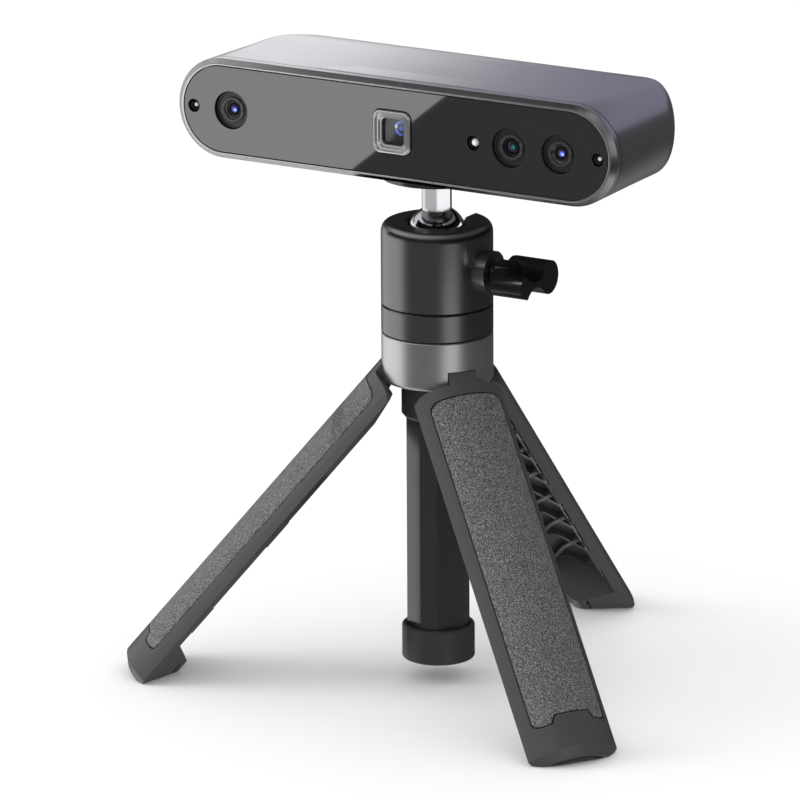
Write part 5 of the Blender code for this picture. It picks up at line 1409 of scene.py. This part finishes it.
def button(name, across, radius):
    cover_inside = REAR_FACE - COVER_THICKNESS
    top = REAR_FACE + BUTTON_PROUD
    dish = [(radius * 0.7 * step / 6, top - BUTTON_SINK * (1 - (step / 6) ** 2)) for step in range(7)]
    made = spun(
        f"{name}_cap",
        dish
        + [
            *arc((radius - EDGE, top - EDGE), EDGE, 90, 0, 4),
            (radius, cover_inside - GAP), (radius + 0.0009, cover_inside - GAP),
            (radius + 0.0009, cover_inside - GAP - 0.0008), (0.0012, cover_inside - GAP - 0.0008),
            (0.0012, 0.0235), (0, 0.0235),
        ],
        on_head(across, turn=REARWARD),
        steps=64,
    )
    dress(smooth(made, 30), button_plastic, f"{name}_body", name)
    return top


BUTTON_SPACING = 0.013
MARK_HEIGHT = 0.00012
buttons = [
    ("scan_button", 0, 0.0036),
    ("minus_button", -BUTTON_SPACING, 0.0025),
    ("plus_button", BUTTON_SPACING, 0.0025),
]
for name, across, radius in buttons:
    top = button(name, across, radius)
    mark_floor = top - BUTTON_SINK - 0.00004
    at_mark = on_head(across, turn=REARWARD)
    if name == "scan_button":
        mark_top = mark_floor + MARK_HEIGHT
        ring = [(0.0010, mark_floor), (0.0010, mark_top), (0.0013, mark_top), (0.0013, mark_floor)]
        mark = spun("scan_mark", ring, at_mark, closed=True, steps=48)
    else:
        stroke = rounded_box(0.0010, 0.00018, 0.0001, 2)
        mark = extruded(f"{name}_mark", stroke, MARK_HEIGHT, at_mark, mark_floor)
        if name == "plus_button":
            quarter = Matrix.Rotation(math.radians(90), 4, "Z")
            carve(mark, extruded("bar", stroke, MARK_HEIGHT, at_mark @ quarter, mark_floor), "UNION")
    dress(smooth(mark), mark_white, f"{name}_body", slot="light_white")

# %% Socket and status light
socket = refined("usb_socket", "usb_shell", 0.00008, 2, 40, 34)
dress(socket, pin_steel, "scanner_head", "usb_socket")
STATUS_X = -0.0240
STATUS_RADIUS = 0.0010
STATUS_EDGE = 0.0002
STATUS_FOOT = 0.0199
status = spun(
    "status_dot",
    [
        (0, REAR_FACE), (STATUS_RADIUS - STATUS_EDGE, REAR_FACE),
        (STATUS_RADIUS, REAR_FACE - STATUS_EDGE), (STATUS_RADIUS, STATUS_FOOT), (0, STATUS_FOOT),
    ],
    on_head(STATUS_X, turn=REARWARD),
    steps=32,
)
dress(smooth(status, 40), light_cap, "scanner_head", "status_light")

# %% [markdown]
# ## Solids that stay
#
# What is left is inside or small. Each solid keeps its mesh and gets a finish on its own material slot.

# %% Finishes on the solids that stay
stay = {
    "head_pad": foot_rubber,
    "optical_bench": collar_metal,
    "projector_engine": optics_black,
    "main_board": board_green,
    "heat_spreader": collar_metal,
    "tripod_insert": turned_brass,
    "clamp_shoe": turned_brass,
    "ball_cup": cap_plastic,
    "hinge_pin_1": pin_steel,
    "hinge_pin_2": pin_steel,
    "hinge_pin_3": pin_steel,
}
for name, material in stay.items():
    solid = nodes[name]
    solid.data.materials.clear()
    solid.data.materials.append(material)
hidden = [name for name, obj in nodes.items() if obj.hide_render]
print("made:", len(made_pieces), "stay:", len(stay), "stood for:", len(hidden), "of", len(nodes))

# %% [markdown]
# ## Floor and studio
#
# The floor and the sky are pale, and the object's look comes from what it mirrors. So the sky that glossy
# rays see has bright and dark stripes at chosen directions, like the tall soft boxes and black flags of a
# product studio. Cards stand close by as well: one whose slanting edge shows in the front glass, two that
# give the case's top and the rim's chamfer their fall from light to dark, strips round the mast for the
# stem and the housing's shoulder, two bright cards for the knob, and dark flags for the tube and the rim. A
# card glows only for the pieces that it names, and any other piece mirrors it as black. So the cards are
# placed for this one view, and from elsewhere a black patch can show.

# %% Floor
calm()
bpy.ops.mesh.primitive_plane_add(size=12, location=(0, 0, -0.00005))
floor = bpy.context.object
floor.name = "floor"
pale_floor, net, shader = finish("pale_floor", (0.97, 0.97, 0.97), 0.9, Specular_IOR_Level=0.0)
net.feed(shader["Roughness"], 0.85 + net.noise(net.place(), 0.05, 2) * 0.1)
floor.data.materials.append(pale_floor)
floor.visible_glossy = False

# %% Sky with stripes for glossy rays
world = bpy.data.worlds.new("studio")
bpy.context.scene.world = world
world.use_nodes = True
tree = world.node_tree
tree.nodes.clear()
net = Net(tree)
direction = net.node("ShaderNodeTexCoord").outputs["Generated"]
east, north, rise = net.parts(direction)
side = east * camera_right.x + north * camera_right.y
near = east * math.sin(CAMERA_AZIMUTH) - north * math.cos(CAMERA_AZIMUTH)
bearing = net.maths("ARCTAN2", side, near) * math.degrees(1)


def stripe(low, high, soft):
    return net.smooth(bearing, low - soft, low + soft) * (1 - net.smooth(bearing, high - soft, high + soft))


left_box = stripe(-150, -74, 10)
front_box = stripe(12, 44, 9)
mid_left = stripe(-66, 8, 14)
overhead = net.smooth(rise, 0.35, 0.75)
underneath = net.smooth(0 - rise, 0.32, 0.62)
above = 0.15 + 0.60 * (1 - net.smooth(side, -0.6, 0.4))
DARKEST_SKY = 0.06
sky = DARKEST_SKY + left_box * 1.05 + front_box * 0.85 + mid_left * 0.08 + underneath * 0.25
glossy_sky = sky * (1 - overhead) + overhead * above
mirrored = net.node("ShaderNodeBackground", values={"Strength": glossy_sky})
plain = net.node("ShaderNodeBackground", values={"Strength": 1.2})
rays = net.node("ShaderNodeLightPath")
mix = net.node("ShaderNodeMixShader", values={0: rays.outputs["Is Glossy Ray"]})
tree.links.new(plain.outputs[0], mix.inputs[1])
tree.links.new(mirrored.outputs[0], mix.inputs[2])
tree.links.new(mix.outputs[0], net.node("ShaderNodeOutputWorld").inputs[0])


# %% Cards that only glossy rays see
def mirrored_point(plane_normal, point, distance):
    """Where the camera's ray goes, a distance after a mirror turns it at a point."""
    ray = (point - camera_place).normalized()
    ray = ray - plane_normal * (2 * ray.dot(plane_normal))
    return point + ray * distance


def glowing(made, glow, seen_by):
    """Makes a shape a glowing card. glow builds its brightness or colour, and only some pieces mirror it."""
    name = made.name
    material = bpy.data.materials.new(name)
    material.use_nodes = True
    material.node_tree.nodes.clear()
    net = Net(material.node_tree)
    emitter = net.node("ShaderNodeEmission")
    value = glow(net)
    net.feed(emitter.inputs["Color" if isinstance(value, bpy.types.NodeSocket) else "Strength"], value)
    net.tree.links.new(emitter.outputs[0], net.node("ShaderNodeOutputMaterial").inputs[0])
    made.data.materials.append(material)
    made.visible_camera = False
    made.visible_diffuse = False
    made.visible_shadow = False
    made.visible_transmission = False
    receivers = bpy.data.collections.new(name)
    for piece in seen_by:
        receivers.objects.link(bpy.data.objects[piece])
    made.light_linking.receiver_collection = receivers
    print("card", name, "is mirrored by", seen_by)
    return made


def flat_card(name, corners, glow, seen_by):
    made = chain(name, corners, True)
    bpy.ops.mesh.edge_face_add()
    bpy.ops.object.mode_set(mode="OBJECT")
    return glowing(made, glow, seen_by)


# %% The card in the front glass, with its slanting edge
def on_glass(across, height):
    return HEAD + Vector((across, FRONT_FACE, height - HEAD_HEIGHT))


EDGE_LOW = (-0.0149, 0.16425)
EDGE_HIGH = (0.0186, 0.1916)
edge_slope = (EDGE_HIGH[0] - EDGE_LOW[0]) / (EDGE_HIGH[1] - EDGE_LOW[1])


def on_edge(height):
    return on_glass(EDGE_LOW[0] + edge_slope * (height - EDGE_LOW[1]), height)


GLASS_CARD_DISTANCE = 0.5
forward = Vector((0, -1, 0))
glass_corners = [on_edge(0.155), on_edge(0.200), on_glass(-0.120, 0.200), on_glass(-0.120, 0.155)]
flat_card(
    "glass_card",
    [mirrored_point(forward, point, GLASS_CARD_DISTANCE) for point in glass_corners],
    lambda net: 1.0,
    ["front_panel", "front_rim", "projector_frame", "projector_pane", "left_barrel", "left_retaining_ring"],
)


# %% Two cards over the head: one in the case's top and one in the rim's chamfer
SPAN = 0.15
TOP_CARD_DISTANCE = 0.14
CHAMFER_CARD_DISTANCE = 0.045
TOP_STOPS = [
    (0.00, (1.08, 1.08, 1.08)), (0.42, (1.12, 1.12, 1.12)), (0.57, (1.08, 1.08, 1.08)),
    (0.66, (0.68, 0.68, 0.69)), (0.74, (0.38, 0.38, 0.41)), (0.84, (0.27, 0.27, 0.31)),
    (1.00, (0.22, 0.21, 0.28)),
]
CHAMFER_STOPS = [
    (0.00, (0.90, 0.90, 0.90)), (0.12, (0.62, 0.62, 0.62)), (0.22, (0.36, 0.36, 0.36)),
    (0.33, (0.20, 0.20, 0.20)), (0.50, (0.12, 0.12, 0.12)), (1.00, (0.04, 0.04, 0.04)),
]


def shaded_card(name, normal, corners, distance, stops, seen_by):
    """A card that runs from light at the head's left to dark at its right, where a mirror shows it."""
    shift = mirrored_point(normal, corners[0], distance).x - corners[0].x

    def glow(net):
        across = net.parts(net.place())[0]
        along = (across - (HEAD.x + shift)) / SPAN + 0.5
        return net.node("ShaderNodeValToRGB", {"stops": stops}, {0: along}).outputs[0]

    return flat_card(name, [mirrored_point(normal, corner, distance) for corner in corners], glow, seen_by)


def on_top(across, deep):
    return HEAD + Vector((across, deep, case_top(deep)))


top_corners = [on_top(-0.25, -0.10), on_top(0.20, -0.10), on_top(0.20, 0.09), on_top(-0.25, 0.09)]
top_normal = Vector((0, -slope, 1)).normalized()
top_lit = ["scanner_case", "bare_plate", "front_rim"]
shaded_card("top_card", top_normal, top_corners, TOP_CARD_DISTANCE, TOP_STOPS, top_lit)

CHAMFER_TURN = math.radians(44)
chamfer_normal = Vector((0, -math.sin(CHAMFER_TURN), math.cos(CHAMFER_TURN)))


def over_chamfer(across, deep):
    return HEAD + Vector((across, FRONT_FACE + deep, FRONT_HEIGHT))


chamfer_corners = [
    over_chamfer(-0.09, -0.014),
    over_chamfer(0.09, -0.014),
    over_chamfer(0.09, 0.014),
    over_chamfer(-0.09, 0.014),
]
shaded_card(
    "chamfer_card", chamfer_normal, chamfer_corners, CHAMFER_CARD_DISTANCE, CHAMFER_STOPS, ["front_rim"]
)


# %% Strips round the mast for the stem and the housing's shoulder
def at_bearing(bearing_degrees, radius, height):
    """A point round the mast. Bearing 0 is towards the camera and 90 is to its right."""
    angle = math.radians(bearing_degrees)
    towards = Vector((math.sin(CAMERA_AZIMUTH), -math.cos(CAMERA_AZIMUTH), 0))
    out = camera_right * math.sin(angle) + towards * math.cos(angle)
    return MAST + out * radius + Vector((0, 0, height))


def sideways(net):
    """How far a place is to the camera's right of the mast."""
    across, deep, up = net.parts(net.place())
    return (across - MAST.x) * camera_right.x + (deep - MAST.y) * camera_right.y


def stem_glow(net):
    return 0.5 + net.smooth(sideways(net), -0.006, 0.006) * 0.6


def shoulder_glow(net):
    return 0.14 + (1 - net.smooth(sideways(net), -0.030, 0.022)) * 0.75


def strip_round(name, low, high, glow, seen_by, brim=None):
    """A bright strip that stands round the mast. Its top may turn in, to the brim's radius."""
    made = chain(name, [at_bearing(angle, STRIP_RADIUS, low) for angle in range(-95, 116, 15)])
    bpy.ops.mesh.extrude_region_move(TRANSFORM_OT_translate={"value": (0, 0, high - low)})
    if brim:
        bpy.ops.mesh.extrude_region_move(TRANSFORM_OT_translate={"value": (0, 0, 0)})
        share = brim / STRIP_RADIUS
        bpy.ops.transform.resize(value=(share, share, 1), center_override=(MAST.x, MAST.y, high))
    bpy.ops.object.mode_set(mode="OBJECT")
    glowing(made, glow, seen_by)


STRIP_RADIUS = 0.030
STEM_STRIP_LOW = 0.1425
STEM_STRIP_HIGH = 0.1515
SHOULDER_STRIP_LOW = 0.1518
SHOULDER_STRIP_HIGH = 0.1550
SHOULDER_BRIM = 0.0180
strip_round("stem_strip", STEM_STRIP_LOW, STEM_STRIP_HIGH, stem_glow, ["ball_and_stem"])
strip_round(
    "shoulder_strip", SHOULDER_STRIP_LOW, SHOULDER_STRIP_HIGH, shoulder_glow, ["ball_housing"], SHOULDER_BRIM
)


# %% Dark flags for the tube and the rim, and bright cards for the knob
def flag(name, left, right, low, high, glow, seen_by):
    corners = [
        left + Vector((0, 0, low)),
        right + Vector((0, 0, low)),
        right + Vector((0, 0, high)),
        left + Vector((0, 0, high)),
    ]
    return flat_card(name, corners, lambda net: glow, seen_by)


BLACK_FLAG = 0.05
TUBE_FLAG_RADIUS = 0.034
tube_left = at_bearing(-112, TUBE_FLAG_RADIUS, 0)
tube_right = at_bearing(-74, TUBE_FLAG_RADIUS, 0)
flag("tube_flag", tube_left, tube_right, 0.001, 0.088, BLACK_FLAG, ["faceted_tube"])
knob_lit = ["wing_knob", "threaded_neck"]
over_knob = [(0.004, -0.0240), (0.028, -0.0240), (0.028, -0.0150), (0.004, -0.0150)]
KNOB_CARD_HEIGHT = 0.1555
KNOB_TOP_GLOW = 20.0
knob_corners = [MAST + Vector((across, deep, KNOB_CARD_HEIGHT)) for across, deep in over_knob]
flat_card("knob_top_card", knob_corners, lambda net: KNOB_TOP_GLOW, knob_lit)
KNOB_SIDE_RADIUS = 0.12
KNOB_SIDE_GLOW = 9.0
side_left = at_bearing(54, KNOB_SIDE_RADIUS, 0)
side_right = at_bearing(66, KNOB_SIDE_RADIUS, 0)
flag("knob_side_card", side_left, side_right, 0.140, 0.170, KNOB_SIDE_GLOW, ["wing_knob"])
rim_end = HEAD + Vector((FRONT_WIDTH, FRONT_FACE, -HEAD_HEIGHT))
flag(
    "rim_flag",
    rim_end + Vector((0.03, -0.12, 0)),
    rim_end + Vector((0.16, -0.01, 0)),
    0.096,
    0.168,
    BLACK_FLAG,
    ["front_rim"],
)


# %% Soft lights
def soft_light(name, place, aim, width, height, radiance):
    data = bpy.data.lights.new(name, "AREA")
    data.shape = "RECTANGLE"
    data.size = width
    data.size_y = height
    data.energy = radiance * math.pi * width * height
    made = bpy.data.objects.new(name, data)
    bpy.context.scene.collection.objects.link(made)
    made.location = place
    made.rotation_mode = "QUATERNION"
    made.rotation_quaternion = (Vector(aim) - Vector(place)).to_track_quat("-Z", "Y")
    made.visible_camera = False
    made.visible_glossy = False
    print("light", name, "of", round(data.energy, 2), "watts")
    return made


soft_light("key_light", (-1.1, -0.6, 0.9), (0, 0, 0.1), 0.8, 0.8, 3.0)
soft_light("fill_light", (0.3, -1.4, 0.6), (0, 0, 0.1), 0.8, 0.8, 0.6)
leg_light = soft_light("leg_light", (-1.2, -0.7, 0.4), (0, 0, 0.06), 1.1, 1.1, 2.2)
legs = bpy.data.collections.new("legs")
for number in (1, 2, 3):
    for piece in ("leg_body", "grip", "foot"):
        legs.objects.link(bpy.data.objects[f"{piece}_{number}"])
leg_light.light_linking.receiver_collection = legs

scene = bpy.context.scene
scene.view_settings.view_transform = "Standard"
scene.view_settings.look = "None"
